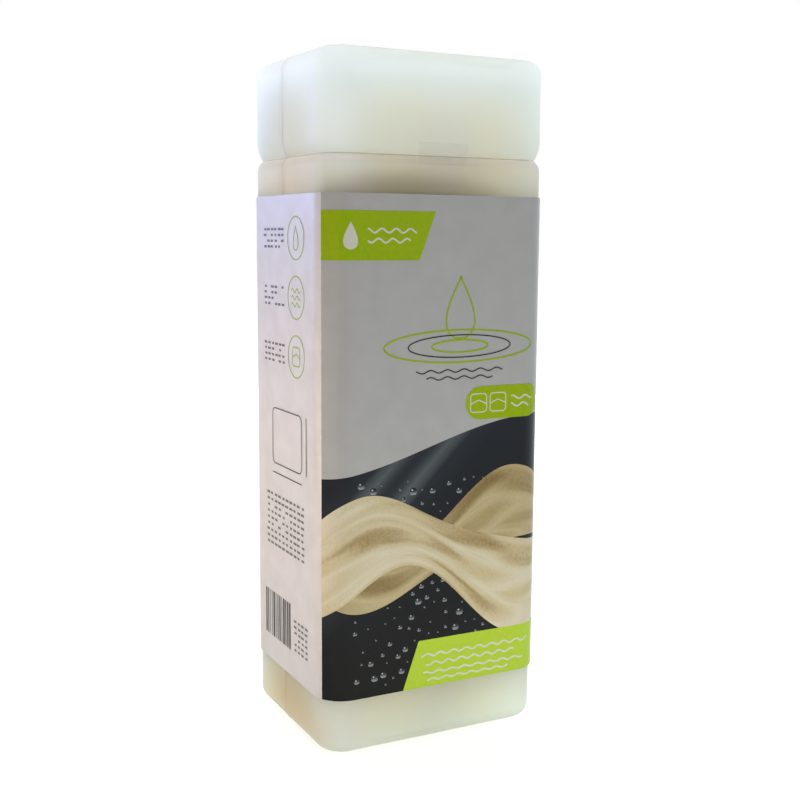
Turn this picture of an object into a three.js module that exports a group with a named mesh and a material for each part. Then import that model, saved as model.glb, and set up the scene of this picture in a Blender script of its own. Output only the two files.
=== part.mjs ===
// A lidded tub of two chamois leathers. The tub and its pull-off lid are one blow-moulded bottle
// that was cut in two: the lid's rim curls in and grips the neck that stands up from the tub.
// A printed card sleeve is wrapped round the tub and glued to itself at the back, and a strip of
// clear tape seals the lid to the tub at the front. The two leathers stand side by side inside,
// each folded once across and rolled up.
// Millimetres, +Z up. The origin is at the centre of the base, on the surface that the tub stands
// on. The front of the sleeve faces -Y.
import * as THREE from "three";

// The moulding that the tub and the lid were cut from
const BODY_WIDTH = 85; // left to right, along X
const BODY_DEPTH = 69; // front to back, along Y
const CORNER_RADIUS = 10; // of the upright corners, seen from above
const WALL = 1.2;
const GROOVE_DEPTH = 1.8; // of the groove between the tub's shoulder and the lid's rim

// Tub
const TUB_HEIGHT = 202; // up to the ledge that the lid's rim sits on
const BASE_FILLET = 5;
const STAND_WIDTH = 6; // of the flat ring that the tub stands on
const PUSH_UP = 2; // how far the middle of the base is pushed up
const PUSH_UP_SLOPE = 4; // width of the slope from the ring up to the middle
const SHOULDER_HEIGHT = 3.6;
const NECK_HEIGHT = 27; // above the ledge

// Lid
const LID_HEIGHT = 33.7;
const TOP_FILLET = 5;
const CURL_HEIGHT = 6.5; // of the inward curl above the lid's rim
const LIP_HEIGHT = 1.5; // of the upright face that grips the neck
const LID_FIT = 0.3; // between the lip and the neck, all round
const SEAT_GAP = 0.3; // between the rim and the ledge

// Card sleeve
const CARD = 0.35;
const SLEEVE_FIT = 0.3; // between the sleeve and the tub, all round
const SLEEVE_RISE = 20; // from the floor to the sleeve's lower edge
const SLEEVE_DROP = 12.5; // from the ledge down to the sleeve's upper edge
const FLAP_WIDTH = 12; // of the glued overlap
const FLAP_CENTRE = -22; // along X, on the back

// Seal tape
const TAPE_WIDTH = 18.5;
const TAPE_FILM = 0.1;
const TAPE_ADHESIVE = 0.05; // between the film and the plastic
const TAPE_ABOVE = 15; // up the lid from its rim
const TAPE_BELOW = 11; // down the tub from its ledge
const TAPE_BRIDGE = 0.6; // share of each curve that the tape follows before it spans the groove

// Chamois leathers
const LEATHER = 0.8; // thickness of the skin
const FOLD_GAP = 0.3; // between the two layers of a folded leather
const WRAP_GAP = 0.5; // between one turn of a roll and the next
const CORE_RADIUS = 2.5; // of the innermost turn, at the middle of the band
const ROLL_CORNER = 9; // largest radius of a turn's corners, at the middle of the band
const ROLL_SIDE_GAP = 0.9; // from a roll to the inside of the neck
const ROLL_GAP = 1; // between the two rolls
const ROLL_HEADROOM = 4.5; // from the neck's rim down to the top of a roll
const FLOOR_GAP = 0.3;

// Facets
const CORNER_STEPS = 8; // to each upright corner
const BEND_STEPS = 6; // to each fillet or curl of a wall
const QUARTER_TURN_STEPS = 5; // to each corner of a turn of a roll

// Places that follow from the sizes above
const lidRim = TUB_HEIGHT + SEAT_GAP;
const lidTop = lidRim + LID_HEIGHT;
const neckTop = TUB_HEIGHT + NECK_HEIGHT;
const neckInset = GROOVE_DEPTH + WALL + LID_FIT;
const neckInside = neckInset + WALL;
const middleInset = BASE_FILLET + STAND_WIDTH + PUSH_UP_SLOPE;

// Finishes
const finish = (color, roughness, extra = {}) =>
  new THREE.MeshStandardMaterial({ color, roughness, metalness: 0, ...extra });
const naturalPolyethylene = finish("#ecece0", 0.4, { transparent: true, opacity: 0.85 });
const printedCard = finish("#e6e4e0", 0.45);
const clearFilm = finish("#f4f4ec", 0.15, { transparent: true, opacity: 0.3 });
const chamois = finish("#e3d6ae", 0.9);

// A point of a wall's profile: x is how far it lies inside the body's outline, y is its height.
const at = (inset, height) => new THREE.Vector2(inset, height);

// The arc that leaves an upright wall at one profile point and ends at another, both included.
function bend(wallPoint, end) {
  const depth = end.x - wallPoint.x;
  const rise = end.y - wallPoint.y;
  const angle = 2 * Math.atan2(Math.abs(depth), Math.abs(rise));
  const points = [];
  for (let step = 0; step <= BEND_STEPS; step++) {
    const turned = (angle * step) / BEND_STEPS;
    const inward = (1 - Math.cos(turned)) / (1 - Math.cos(angle));
    const along = Math.sin(turned) / Math.sin(angle);
    points.push(at(wallPoint.x + depth * inward, wallPoint.y + rise * along));
  }
  return points;
}

// The body's outline, drawn in by an inset (or out by a negative one), from the right-hand side
// round by the back. Its points are spaced alike for every inset.
function outline(inset) {
  const radius = Math.max(CORNER_RADIUS - inset, WALL / 2);
  const x = BODY_WIDTH / 2 - inset - radius;
  const y = BODY_DEPTH / 2 - inset - radius;
  const centres = [at(x, y), at(-x, y), at(-x, -y), at(x, -y)];
  return centres.flatMap((centre, corner) =>
    Array.from({ length: CORNER_STEPS + 1 }, (_, step) => {
      const angle = (corner + step / CORNER_STEPS) * (Math.PI / 2);
      return at(centre.x + radius * Math.cos(angle), centre.y + radius * Math.sin(angle));
    }),
  );
}

// A closed wall: one outline for each point of a profile, joined from the first to the last, with
// both ends closed by a flat cap. The profile has its material on the left.
function loft(profile) {
  const rings = profile.map((point) => outline(point.x));
  const count = rings[0].length;
  const positions = rings.flatMap((ring, level) =>
    ring.flatMap((point) => [point.x, point.y, profile[level].y]),
  );
  const firstMiddle = positions.length / 3;
  const lastMiddle = firstMiddle + 1;
  positions.push(0, 0, profile[0].y, 0, 0, profile.at(-1).y);
  const lastRing = (rings.length - 1) * count;
  const triangles = [];
  for (let point = 0; point < count; point++) {
    const next = (point + 1) % count;
    triangles.push(firstMiddle, next, point);
    triangles.push(lastMiddle, lastRing + point, lastRing + next);
    for (let below = 0; below < lastRing; below += count) {
      const above = below + count;
      triangles.push(below + point, below + next, above + next);
      triangles.push(below + point, above + next, above + point);
    }
  }
  const geometry = new THREE.BufferGeometry();
  geometry.setAttribute("position", new THREE.Float32BufferAttribute(positions, 3));
  geometry.setIndex(triangles);
  geometry.computeVertexNormals();
  return geometry;
}

function tubGeometry() {
  const standInner = BASE_FILLET + STAND_WIDTH;
  const shoulderFoot = TUB_HEIGHT - SHOULDER_HEIGHT;
  const ledgeUnderside = TUB_HEIGHT - WALL;
  return loft([
    at(middleInset, PUSH_UP),
    at(standInner, 0),
    ...bend(at(0, BASE_FILLET), at(BASE_FILLET, 0)).reverse(),
    ...bend(at(0, shoulderFoot), at(GROOVE_DEPTH, TUB_HEIGHT)),
    at(neckInset, TUB_HEIGHT),
    at(neckInset, neckTop),
    at(neckInside, neckTop),
    at(neckInside, ledgeUnderside),
    ...bend(at(WALL, shoulderFoot), at(GROOVE_DEPTH + WALL, ledgeUnderside)).reverse(),
    ...bend(at(WALL, BASE_FILLET), at(BASE_FILLET, WALL)),
    at(standInner, WALL),
    at(middleInset, PUSH_UP + WALL),
  ]);
}

function lidGeometry() {
  const ceiling = lidTop - WALL;
  const curlTop = lidRim + CURL_HEIGHT;
  const lipInset = GROOVE_DEPTH + WALL;
  return loft([
    at(middleInset, ceiling),
    ...bend(at(WALL, lidTop - TOP_FILLET), at(TOP_FILLET, ceiling)).reverse(),
    ...bend(at(WALL, curlTop), at(lipInset, lidRim + LIP_HEIGHT)),
    at(lipInset, lidRim),
    ...bend(at(0, curlTop), at(GROOVE_DEPTH, lidRim)).reverse(),
    ...bend(at(0, lidTop - TOP_FILLET), at(TOP_FILLET, lidTop)),
    at(middleInset, lidTop),
  ]);
}

// The sleeve is a band of card with a second thickness where its end is glued down at the back.
function sleeveGeometry() {
  const outside = outline(-SLEEVE_FIT - CARD);
  const back = BODY_DEPTH / 2 + SLEEVE_FIT + CARD;
  const flapRight = FLAP_CENTRE + FLAP_WIDTH / 2;
  const flapLeft = FLAP_CENTRE - FLAP_WIDTH / 2;
  const flap = [
    at(flapRight, back),
    at(flapRight, back + CARD),
    at(flapLeft, back + CARD),
    at(flapLeft, back),
  ];
  outside.splice(CORNER_STEPS + 1, 0, ...flap);
  const shape = new THREE.Shape(outside);
  shape.holes.push(new THREE.Path(outline(-SLEEVE_FIT)));
  const depth = TUB_HEIGHT - SLEEVE_DROP - SLEEVE_RISE;
  return new THREE.ExtrudeGeometry(shape, { depth, bevelEnabled: false });
}

// The tape follows the tub's wall and shoulder, spans the groove and follows the lid's curl and
// wall. Its section is drawn in the YZ plane and carried across along X.
function tapeGeometry() {
  const follow = Math.round(BEND_STEPS * TAPE_BRIDGE) + 1;
  const shoulder = bend(at(0, TUB_HEIGHT - SHOULDER_HEIGHT), at(GROOVE_DEPTH, TUB_HEIGHT));
  const curl = bend(at(0, lidRim + CURL_HEIGHT), at(GROOVE_DEPTH, lidRim));
  const touched = [
    at(0, TUB_HEIGHT - TAPE_BELOW),
    ...shoulder.slice(0, follow),
    ...curl.slice(0, follow).reverse(),
    at(0, lidRim + TAPE_ABOVE),
  ];
  const side = (lift) => touched.map((p) => at(p.x - BODY_DEPTH / 2 - lift, p.y));
  const inner = side(TAPE_ADHESIVE);
  const outer = side(TAPE_ADHESIVE + TAPE_FILM);
  const section = new THREE.Shape([...inner, ...outer.reverse()]);
  const geometry = new THREE.ExtrudeGeometry(section, { depth: TAPE_WIDTH, bevelEnabled: false });
  const [x, y, z] = [0, 1, 2].map((axis) => new THREE.Vector3().setComponent(axis, 1));
  geometry.applyMatrix4(new THREE.Matrix4().makeBasis(y, z, x));
  return geometry.translate(-TAPE_WIDTH / 2, 0, 0);
}

// A roll fills its half of the neck, so its breadth and its flat core follow from the neck.
const band = 2 * LEATHER + FOLD_GAP;
const wrapPitch = band + WRAP_GAP;
const rollBreadth = (BODY_WIDTH - 2 * neckInside - 2 * ROLL_SIDE_GAP - ROLL_GAP) / 2;
const rollLength = BODY_DEPTH - 2 * neckInside - 2 * ROLL_SIDE_GAP;
const coreLength = rollLength - rollBreadth;
const largestRadius = (rollBreadth - band) / 2;
const quarterTurns = Math.floor((4 * (largestRadius - CORE_RADIUS)) / wrapPitch);
const rollFloor = PUSH_UP + WALL + FLOOR_GAP;
const rollHeight = neckTop - ROLL_HEADROOM - rollFloor;

// The middle of the folded leather as it winds round its flat core, seen from above. Its reach
// from the core grows steadily with the angle. Each quarter turn is an arc about a corner, which
// lies on the core until the reach passes the largest corner radius, and then moves outwards.
function windingLine() {
  const line = [];
  const corners = [at(1, 1), at(-1, 1), at(-1, -1), at(1, -1)];
  for (let quarter = 0; quarter < quarterTurns; quarter++) {
    const corner = corners[quarter % 4];
    for (let step = 0; step <= QUARTER_TURN_STEPS; step++) {
      const turned = (quarter + step / QUARTER_TURN_STEPS) / 4;
      const angle = 2 * Math.PI * turned;
      const outward = at(Math.cos(angle), Math.sin(angle));
      const reach = CORE_RADIUS + wrapPitch * turned;
      const radius = Math.min(reach, ROLL_CORNER);
      const centre = at(reach - radius, coreLength / 2 + reach - radius).multiply(corner);
      line.push({ middle: centre.addScaledVector(outward, radius), outward, turned });
    }
  }
  return line;
}

function rollGeometry(line) {
  const side = (lift) => line.map((p) => p.middle.clone().addScaledVector(p.outward, lift));
  const shape = new THREE.Shape([...side(band / 2), ...side(-band / 2).reverse()]);
  return new THREE.ExtrudeGeometry(shape, { depth: rollHeight, bevelEnabled: false });
}

// The least gap between one turn of a roll and another, measured on the points of its line.
function leastGap(line) {
  const gaps = line.flatMap((near) =>
    line
      .filter((far) => far.turned - near.turned > 0.5)
      .map((far) => far.middle.distanceTo(near.middle) - band),
  );
  return Math.min(...gaps);
}

function piece(name, geometry, material) {
  const mesh = new THREE.Mesh(geometry, material);
  mesh.name = name;
  return mesh;
}

const pack = new THREE.Group();
pack.add(piece("tub", tubGeometry(), naturalPolyethylene));
pack.add(piece("lid", lidGeometry(), naturalPolyethylene));

const sleeve = piece("label_sleeve", sleeveGeometry(), printedCard);
sleeve.position.z = SLEEVE_RISE;
pack.add(sleeve);

pack.add(piece("seal_tape", tapeGeometry(), clearFilm));

// The right-hand roll is the left-hand one turned half round.
const line = windingLine();
const sides = [
  { name: "chamois_leather_left", side: -1 },
  { name: "chamois_leather_right", side: 1 },
];
for (const { name, side } of sides) {
  const roll = piece(name, rollGeometry(line), chamois);
  roll.rotation.z = side < 0 ? 0 : Math.PI;
  roll.position.set((side * (rollBreadth + ROLL_GAP)) / 2, 0, rollFloor);
  pack.add(roll);
}

const flatLength = line.reduce(
  (sum, p, i) => (i === 0 ? 0 : sum + p.middle.distanceTo(line[i - 1].middle)),
  0,
);
console.log(`rolled leather: ${flatLength.toFixed(0)} mm long, ${rollHeight.toFixed(1)} mm high`);
console.log(`least gap between its turns: ${leastGap(line).toFixed(2)} mm`);

export default pack;
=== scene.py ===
"""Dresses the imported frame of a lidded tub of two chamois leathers.

The tub and its lid are milky blow-moulded polyethylene, the sleeve is coated card with a generic
print, the seal is clear tape, and the leathers are oil-tanned skins, folded once and rolled.
Sizes here are in millimetres, apart from the studio's, which are in metres. Meshes are written in
metres, in the frame's own axes: +Z is up, and the front of the sleeve faces -Y.
"""

from __future__ import annotations

import logging
import math
from bisect import bisect_right
from dataclasses import dataclass
from enum import Enum
from typing import Callable, Iterable, NamedTuple, Sequence

import bmesh
import bpy
from mathutils import Matrix, Vector, geometry, noise

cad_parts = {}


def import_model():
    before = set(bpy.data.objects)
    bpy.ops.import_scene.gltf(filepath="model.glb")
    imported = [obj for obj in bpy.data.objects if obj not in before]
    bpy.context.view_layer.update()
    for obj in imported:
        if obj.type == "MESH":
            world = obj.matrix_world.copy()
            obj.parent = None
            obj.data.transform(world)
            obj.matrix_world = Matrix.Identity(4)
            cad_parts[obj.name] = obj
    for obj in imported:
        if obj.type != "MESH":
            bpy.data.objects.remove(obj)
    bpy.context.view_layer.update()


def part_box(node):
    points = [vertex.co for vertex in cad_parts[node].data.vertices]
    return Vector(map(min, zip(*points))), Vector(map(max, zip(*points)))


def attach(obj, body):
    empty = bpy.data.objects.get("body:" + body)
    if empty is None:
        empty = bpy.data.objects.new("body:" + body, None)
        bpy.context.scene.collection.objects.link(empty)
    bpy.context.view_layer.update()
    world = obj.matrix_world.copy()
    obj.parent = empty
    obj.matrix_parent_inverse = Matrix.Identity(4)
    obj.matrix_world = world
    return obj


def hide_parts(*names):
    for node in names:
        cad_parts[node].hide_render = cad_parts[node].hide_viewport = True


LOG = logging.getLogger("tub_of_leathers")
MM = 0.001
PHOTO_PIXELS = 800
SENSOR_WIDTH = 36.0
SHARP_ANGLE = math.radians(38)
UNROLLED = "unrolled"
DRAPE = "drape"
BEAD = "bead"
LEAST_LENGTH = 1e-9
PLACE_DIGITS = 6

Tree = bpy.types.NodeTree
Socket = bpy.types.NodeSocket
Mesh = bpy.types.Mesh
Piece = bpy.types.Object
FlatPrint = bmesh.types.BMesh
Flat = tuple[float, float]
Place = tuple[float, float, float]
Profile = list[Flat]
PlaceOnMap = Callable[[float, float], Flat]


def linear(hex_colour: str) -> tuple[float, float, float, float]:
    """Turns an sRGB hex colour to linear red, green, blue and alpha.

    Args:
        hex_colour: The colour, as #RRGGBB.

    Returns:
        The linear channels.
    """
    channels = [int(hex_colour[start : start + 2], 16) / 255 for start in (1, 3, 5)]
    rgb = [c / 12.92 if c <= 0.04045 else ((c + 0.055) / 1.055) ** 2.4 for c in channels]
    return (rgb[0], rgb[1], rgb[2], 1.0)


def per_mm(size: float) -> float:
    """Gives the texture scale at which one feature is this many millimetres wide."""
    return 1.0 / (size * MM)


def smooth_step(share: float) -> float:
    """Eases a share, held between 0 and 1, so that it starts and ends gently."""
    held = min(max(share, 0.0), 1.0)
    return held * held * (3 - 2 * held)


def add_node(
    tree: Tree, kind: str, inputs: dict | None = None, stops: dict[float, str] | None = None, **settings
) -> bpy.types.bpy_prop_collection:
    """Adds one node with its settings, its input values and its links.

    Args:
        tree: Shader or geometry tree that the node goes into.
        kind: Blender's name for the type of node. A shader node's may leave out ShaderNode.
        inputs: A value or a source socket for each input, by name or by place.
        stops: Hex colour by place along the node's colour ramp, if it has one.
        **settings: The node's own properties.

    Returns:
        The new node's outputs.
    """
    made = tree.nodes.new(kind if "Node" in kind else f"ShaderNode{kind}")
    for name, value in settings.items():
        setattr(made, name, value)
    for key, value in (inputs or {}).items():
        if isinstance(value, Socket):
            tree.links.new(value, made.inputs[key])
        else:
            made.inputs[key].default_value = value
    if stops:
        elements = made.color_ramp.elements
        while len(elements) < len(stops):
            elements.new(0.5)
        for element, (place, colour) in zip(elements, sorted(stops.items())):
            element.position = place
            element.color = linear(colour)
    return made.outputs


@dataclass(frozen=True)
class Finish:
    """A surface finish. It makes its material the first time that a piece asks for it."""

    name: str

    def shader(self, tree: Tree) -> Socket:
        """Builds the finish's nodes and gives the shader socket."""
        raise NotImplementedError

    def material(self) -> bpy.types.Material:
        """Gives the finish's material, making it if this is the first piece that wears it.

        Returns:
            The material.
        """
        found = bpy.data.materials.get(self.name)
        if found is not None:
            return found
        made = bpy.data.materials.new(self.name)
        made.use_nodes = True
        made.node_tree.nodes.clear()
        add_node(made.node_tree, "OutputMaterial", {"Surface": self.shader(made.node_tree)})
        return made


@dataclass(frozen=True)
class WallPatch:
    """A stretch of the wall whose passed light is tinted darker or lighter. Most patches are painted shade
    or painted light, and some are partly a thicker or thinner wall.

    Its place and its reach along each axis are in millimetres, and it is at its full strength where
    it is nearer its middle than the given share of that reach.
    """

    name: str
    middle: Place
    reach: Place
    through: str
    full_at: float = 0.7


@dataclass(frozen=True)
class NaturalPolyethylene(Finish):
    """Unpigmented polyethylene, blown in a blasted mould.

    The wall is milky: it throws part of the light back and lets the rest through in all directions,
    so what stands close behind it shows as a soft tint. The blasted mould leaves a satin grain.
    """

    pale: str = "#F4F6F6"
    deep: str = "#EFF1F1"
    through: str = "#F8FBFB"
    # Most of these patches are painted shade or painted light in the passed colour, laid where the light
    # falls so.
    patches: tuple[WallPatch, ...] = (
        # Painted shade: the passed light is darker in a band under the shoulder, above the sleeve's front.
        WallPatch("painted shade under the shoulder", (-14.0, -34.5, 187.0), (50.0, 18.0, 13.0), "#DAD9D2"),
        # Painted shade: the passed light is darker and warmer low on the left of the base.
        WallPatch("painted shade left of the base", (-42.5, -4.0, 4.0), (9.0, 44.0, 19.0), "#F1EBE0"),
        # Partly a thinner base wall and partly painted light: the passed light is brighter round the base,
        # most to the right.
        WallPatch("thin base wall with painted light", (16.0, -8.0, 0.0), (60.0, 66.0, 40.0), "#FAFEFD"),
        # Painted shade: the passed light is darker along the lowest few millimetres, where the base meets
        # the floor.
        WallPatch("painted contact shade at the base's edge", (0.0, 0.0, -1.0), (400.0, 400.0, 6.0), "#F3F7F2"),
        # Painted light: the passed light is brighter in the middle of the lid's front.
        WallPatch("painted light in the lid's front", (0.0, -34.5, 213.0), (62.0, 30.0, 20.0), "#FBFDFD"),
        # Painted light: the passed light is brighter and bluer on the left face, from the middle up.
        WallPatch("painted bluish light along the left", (-42.5, 0.0, 220.0), (2.2, 400.0, 120.0), "#FDFEFF"),
        # Painted highlight: the passed light is white in a thin line along the shoulder's edge.
        WallPatch("painted highlight at the shoulder's edge", (0.0, 0.0, 200.7), (400.0, 400.0, 1.2), "#FFFFFF"),
        # Painted shade: the passed light is dark and brown in a thin line at the seam between lid and tub.
        WallPatch("painted shade in the seam", (0.0, 0.0, 202.15), (400.0, 400.0, 0.26), "#C9B999"),
        WallPatch("pinched at the parting line", (0.0, 2.0, 118.0), (400.0, 0.34, 1200.0), "#E2E1DF"),
    )
    passed: float = 0.86
    passed_drift: float = 0.05
    cloud: float = 28.0
    grain: float = 0.9
    grain_depth: float = 0.02

    def passed_colour(self, tree: Tree, place: Socket) -> Socket:
        """Colours the light that the wall passes, patch by patch, with the patches' painted shade and
        painted light.

        Args:
            tree: The material's tree.
            place: The place on the wall.

        Returns:
            The colour socket.
        """
        colour = linear(self.through)
        # Each patch tints the passed colour towards its own, mostly as painted shade or painted light.
        for patch in self.patches:
            middle, reach = Vector(patch.middle) * MM, Vector(patch.reach) * MM
            centred = {"Vector": place, "Location": middle, "Scale": reach}
            offset = add_node(tree, "Mapping", centred, vector_type="TEXTURE")[0]
            nearness = add_node(tree, "TexGradient", {0: offset}, gradient_type="SPHERICAL")["Fac"]
            fade = {"Value": nearness, "From Max": patch.full_at}
            covered = add_node(tree, "MapRange", fade, interpolation_type="SMOOTHSTEP")["Result"]
            tints = {0: covered, 6: colour, 7: linear(patch.through)}
            colour = add_node(tree, "Mix", tints, data_type="RGBA")[2]
        return colour

    def shader(self, tree: Tree) -> Socket:
        """Mixes a satin white face with light that passes through the wall.

        Args:
            tree: The material's tree.

        Returns:
            The shader socket.
        """
        place = add_node(tree, "TexCoord")["Object"]
        # A blown wall stretches unevenly, so its thickness drifts in soft clouds.
        stretch = {"Vector": place, "Scale": per_mm(self.cloud), "Detail": 2.0}
        clouds = add_node(tree, "TexNoise", stretch)["Fac"]
        least, most = self.passed - self.passed_drift, self.passed + self.passed_drift
        drift = {"Value": clouds, "From Min": 0.3, "From Max": 0.7, "To Min": least, "To Max": most}
        share = add_node(tree, "MapRange", drift)["Result"]
        blasted = {"Vector": place, "Scale": per_mm(self.grain), "Detail": 3.0}
        grain = add_node(tree, "TexNoise", blasted)["Fac"]
        raised = {"Height": grain, "Distance": self.grain_depth * MM, "Strength": 0.5}
        relief = add_node(tree, "Bump", raised)["Normal"]
        satin = add_node(tree, "MapRange", {"Value": grain, "To Min": 0.34, "To Max": 0.5})["Result"]
        white = add_node(tree, "ValToRGB", {"Fac": clouds}, {0.35: self.deep, 0.65: self.pale})["Color"]
        outside = {"Base Color": white, "Roughness": satin, "IOR": 1.53, "Normal": relief}
        face = add_node(tree, "BsdfPrincipled", outside)[0]
        glow = add_node(tree, "BsdfTranslucent", {"Color": self.passed_colour(tree, place)})[0]
        return add_node(tree, "MixShader", {0: share, 1: face, 2: glow})[0]


@dataclass(frozen=True)
class CoatedCard(Finish):
    """Clay-coated card under a thin lacquer: white, smooth and a little glossy.

    The lacquer cracks white along the creases, and the cut edges are rubbed.
    """

    creases: tuple[float, ...] = ()
    edges: tuple[float, ...] = ()
    white: str = "#EFEEEB"
    shade: str = "#E6E4E0"
    worn: str = "#FBFAF7"
    fibre: float = 0.35
    mottle: float = 9.0
    crumb: float = 1.1
    crack: float = 0.28
    relief_depth: float = 0.012

    def shader(self, tree: Tree) -> Socket:
        """Gives lacquered card with rubbed creases and edges.

        Args:
            tree: The material's tree.

        Returns:
            The shader socket.
        """
        sheet = add_node(tree, "UVMap", uv_map=UNROLLED)["UV"]
        fibre, mottle, ragged = (
            add_node(tree, "TexNoise", {"Vector": sheet, "Scale": per_mm(size), "Detail": detail})["Fac"]
            for size, detail in ((self.fibre, 2.0), (self.mottle, 3.0), (self.crumb, 2.0))
        )
        split = add_node(tree, "SeparateXYZ", {"Vector": sheet})
        lines = [(split["X"], crease) for crease in self.creases]
        lines += [(split["Y"], edge) for edge in self.edges]
        rubbed = 0.0
        for axis, line in lines:
            within = {0: axis, 1: line * MM, 2: self.crack * MM}
            near = add_node(tree, "Math", within, operation="COMPARE")[0]
            rubbed = add_node(tree, "Math", {0: rubbed, 1: near}, operation="MAXIMUM")[0]
        torn = {"Value": ragged, "From Min": 0.48, "From Max": 0.62}
        patchy = add_node(tree, "MapRange", torn)["Result"]
        worn = add_node(tree, "Math", {0: rubbed, 1: patchy}, operation="MULTIPLY")[0]
        paper = add_node(tree, "ValToRGB", {"Fac": mottle}, {0.3: self.shade, 0.7: self.white})["Color"]
        colour = add_node(tree, "Mix", {0: worn, 6: paper, 7: linear(self.worn)}, data_type="RGBA")[2]
        raised = {"Height": fibre, "Distance": self.relief_depth * MM, "Strength": 0.35}
        relief = add_node(tree, "Bump", raised)["Normal"]
        lacquer = add_node(tree, "MapRange", {"Value": mottle, "To Min": 0.32, "To Max": 0.46})["Result"]
        coated = {"Base Color": colour, "Roughness": lacquer, "IOR": 1.48, "Normal": relief}
        return add_node(tree, "BsdfPrincipled", coated)[0]


@dataclass(frozen=True)
class BoardCore(Finish):
    """Uncoated board, as on the card's inside and its cut edges: matt, with short fibres."""

    pale: str = "#F0EDE6"
    grey: str = "#D9D4C9"
    fibre: float = 0.8
    fibre_depth: float = 0.03

    def shader(self, tree: Tree) -> Socket:
        """Gives rough fibrous board.

        Args:
            tree: The material's tree.

        Returns:
            The shader socket.
        """
        place = add_node(tree, "TexCoord")["Object"]
        pulp = {"Vector": place, "Scale": per_mm(self.fibre), "Detail": 4.0, "Distortion": 1.2}
        fibre = add_node(tree, "TexNoise", pulp)["Fac"]
        raised = {"Height": fibre, "Distance": self.fibre_depth * MM, "Strength": 0.5}
        relief = add_node(tree, "Bump", raised)["Normal"]
        colour = add_node(tree, "ValToRGB", {"Fac": fibre}, {0.35: self.grey, 0.6: self.pale})["Color"]
        matt = {"Base Color": colour, "Roughness": 0.9, "Normal": relief}
        return add_node(tree, "BsdfPrincipled", matt)[0]


@dataclass(frozen=True)
class LacqueredPrint(Finish):
    """Something printed on the card, under the card's thin lacquer."""

    lacquer_ior: float = 1.48
    shine: float = 0.2

    def printed(self, tree: Tree) -> tuple[Socket, Socket | float]:
        """Gives the print's colour, and how rough the lacquer over it is."""
        raise NotImplementedError

    def shader(self, tree: Tree) -> Socket:
        """Lays lacquer over the print.

        Args:
            tree: The material's tree.

        Returns:
            The shader socket.
        """
        colour, roughness = self.printed(tree)
        coated = {"Base Color": colour, "Roughness": roughness, "IOR": self.lacquer_ior}
        coated["Specular IOR Level"] = self.shine
        return add_node(tree, "BsdfPrincipled", coated)[0]


@dataclass(frozen=True)
class PrintingInk(LacqueredPrint):
    """Offset ink: even, but with a faint mottle where the card took less of it."""

    full: str = "#000000"
    thin: str = "#000000"
    mottle: float = 1.6

    def printed(self, tree: Tree) -> tuple[Socket, Socket | float]:
        """Gives ink with a faint mottle, which the lacquer takes on.

        Args:
            tree: The material's tree.

        Returns:
            The colour and the lacquer's roughness.
        """
        sheet = add_node(tree, "UVMap", uv_map=UNROLLED)["UV"]
        uneven = {"Vector": sheet, "Scale": per_mm(self.mottle), "Detail": 4.0}
        mottle = add_node(tree, "TexNoise", uneven)["Fac"]
        lacquer = add_node(tree, "MapRange", {"Value": mottle, "To Min": 0.3, "To Max": 0.44})["Result"]
        colour = add_node(tree, "ValToRGB", {"Fac": mottle}, {0.35: self.full, 0.7: self.thin})["Color"]
        return colour, lacquer


@dataclass(frozen=True)
class PolishedPanelPicture(LacqueredPrint):
    """The dark field of the print: a picture of polished dark lacquer with long soft reflections.

    At a scale of 1 the wave texture's bands lie a tenth of pi apart, which is the band pitch.
    """

    shine: float = 0.15
    roughness: float = 0.34
    black: str = "#08090A"
    charcoal: str = "#121416"
    slate: str = "#2A3036"
    gleam: str = "#7C868C"
    sky: str = "#262E38"
    sky_share: float = 0.55
    sweep: float = 70.0
    band_pitch: float = 0.314
    sweep_turn: float = -38.0
    field_bottom: float = 20.0
    field_top: float = 120.0

    def printed(self, tree: Tree) -> tuple[Socket, Socket | float]:
        """Gives printed dark lacquer whose reflections sweep across the field.

        Args:
            tree: The material's tree.

        Returns:
            The colour and the lacquer's roughness.
        """
        sheet = add_node(tree, "UVMap", uv_map=UNROLLED)["UV"]
        slant = {"Vector": sheet, "Rotation": (0.0, 0.0, math.radians(self.sweep_turn))}
        turned = add_node(tree, "Mapping", slant)["Vector"]
        scale = self.band_pitch * per_mm(self.sweep)
        bands = {"Vector": turned, "Scale": scale, "Distortion": 7.0, "Detail": 1.0, "Detail Scale": 0.6}
        sweeps = add_node(tree, "TexWave", bands, bands_direction="Y")["Fac"]
        tones = {0.0: self.black, 0.6: self.charcoal, 0.84: self.slate, 0.95: self.gleam, 1.0: self.slate}
        lacquer = add_node(tree, "ValToRGB", {"Fac": sweeps}, tones)["Color"]
        height = add_node(tree, "SeparateXYZ", {"Vector": sheet})["Y"]
        field = {"Value": height, "From Min": self.field_bottom * MM, "From Max": self.field_top * MM}
        rise = add_node(tree, "MapRange", field, interpolation_type="SMOOTHSTEP")["Result"]
        share = add_node(tree, "Math", {0: rise, 1: self.sky_share}, operation="MULTIPLY")[0]
        colours = {0: share, 6: lacquer, 7: linear(self.sky)}
        return add_node(tree, "Mix", colours, data_type="RGBA")[2], self.roughness


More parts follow.
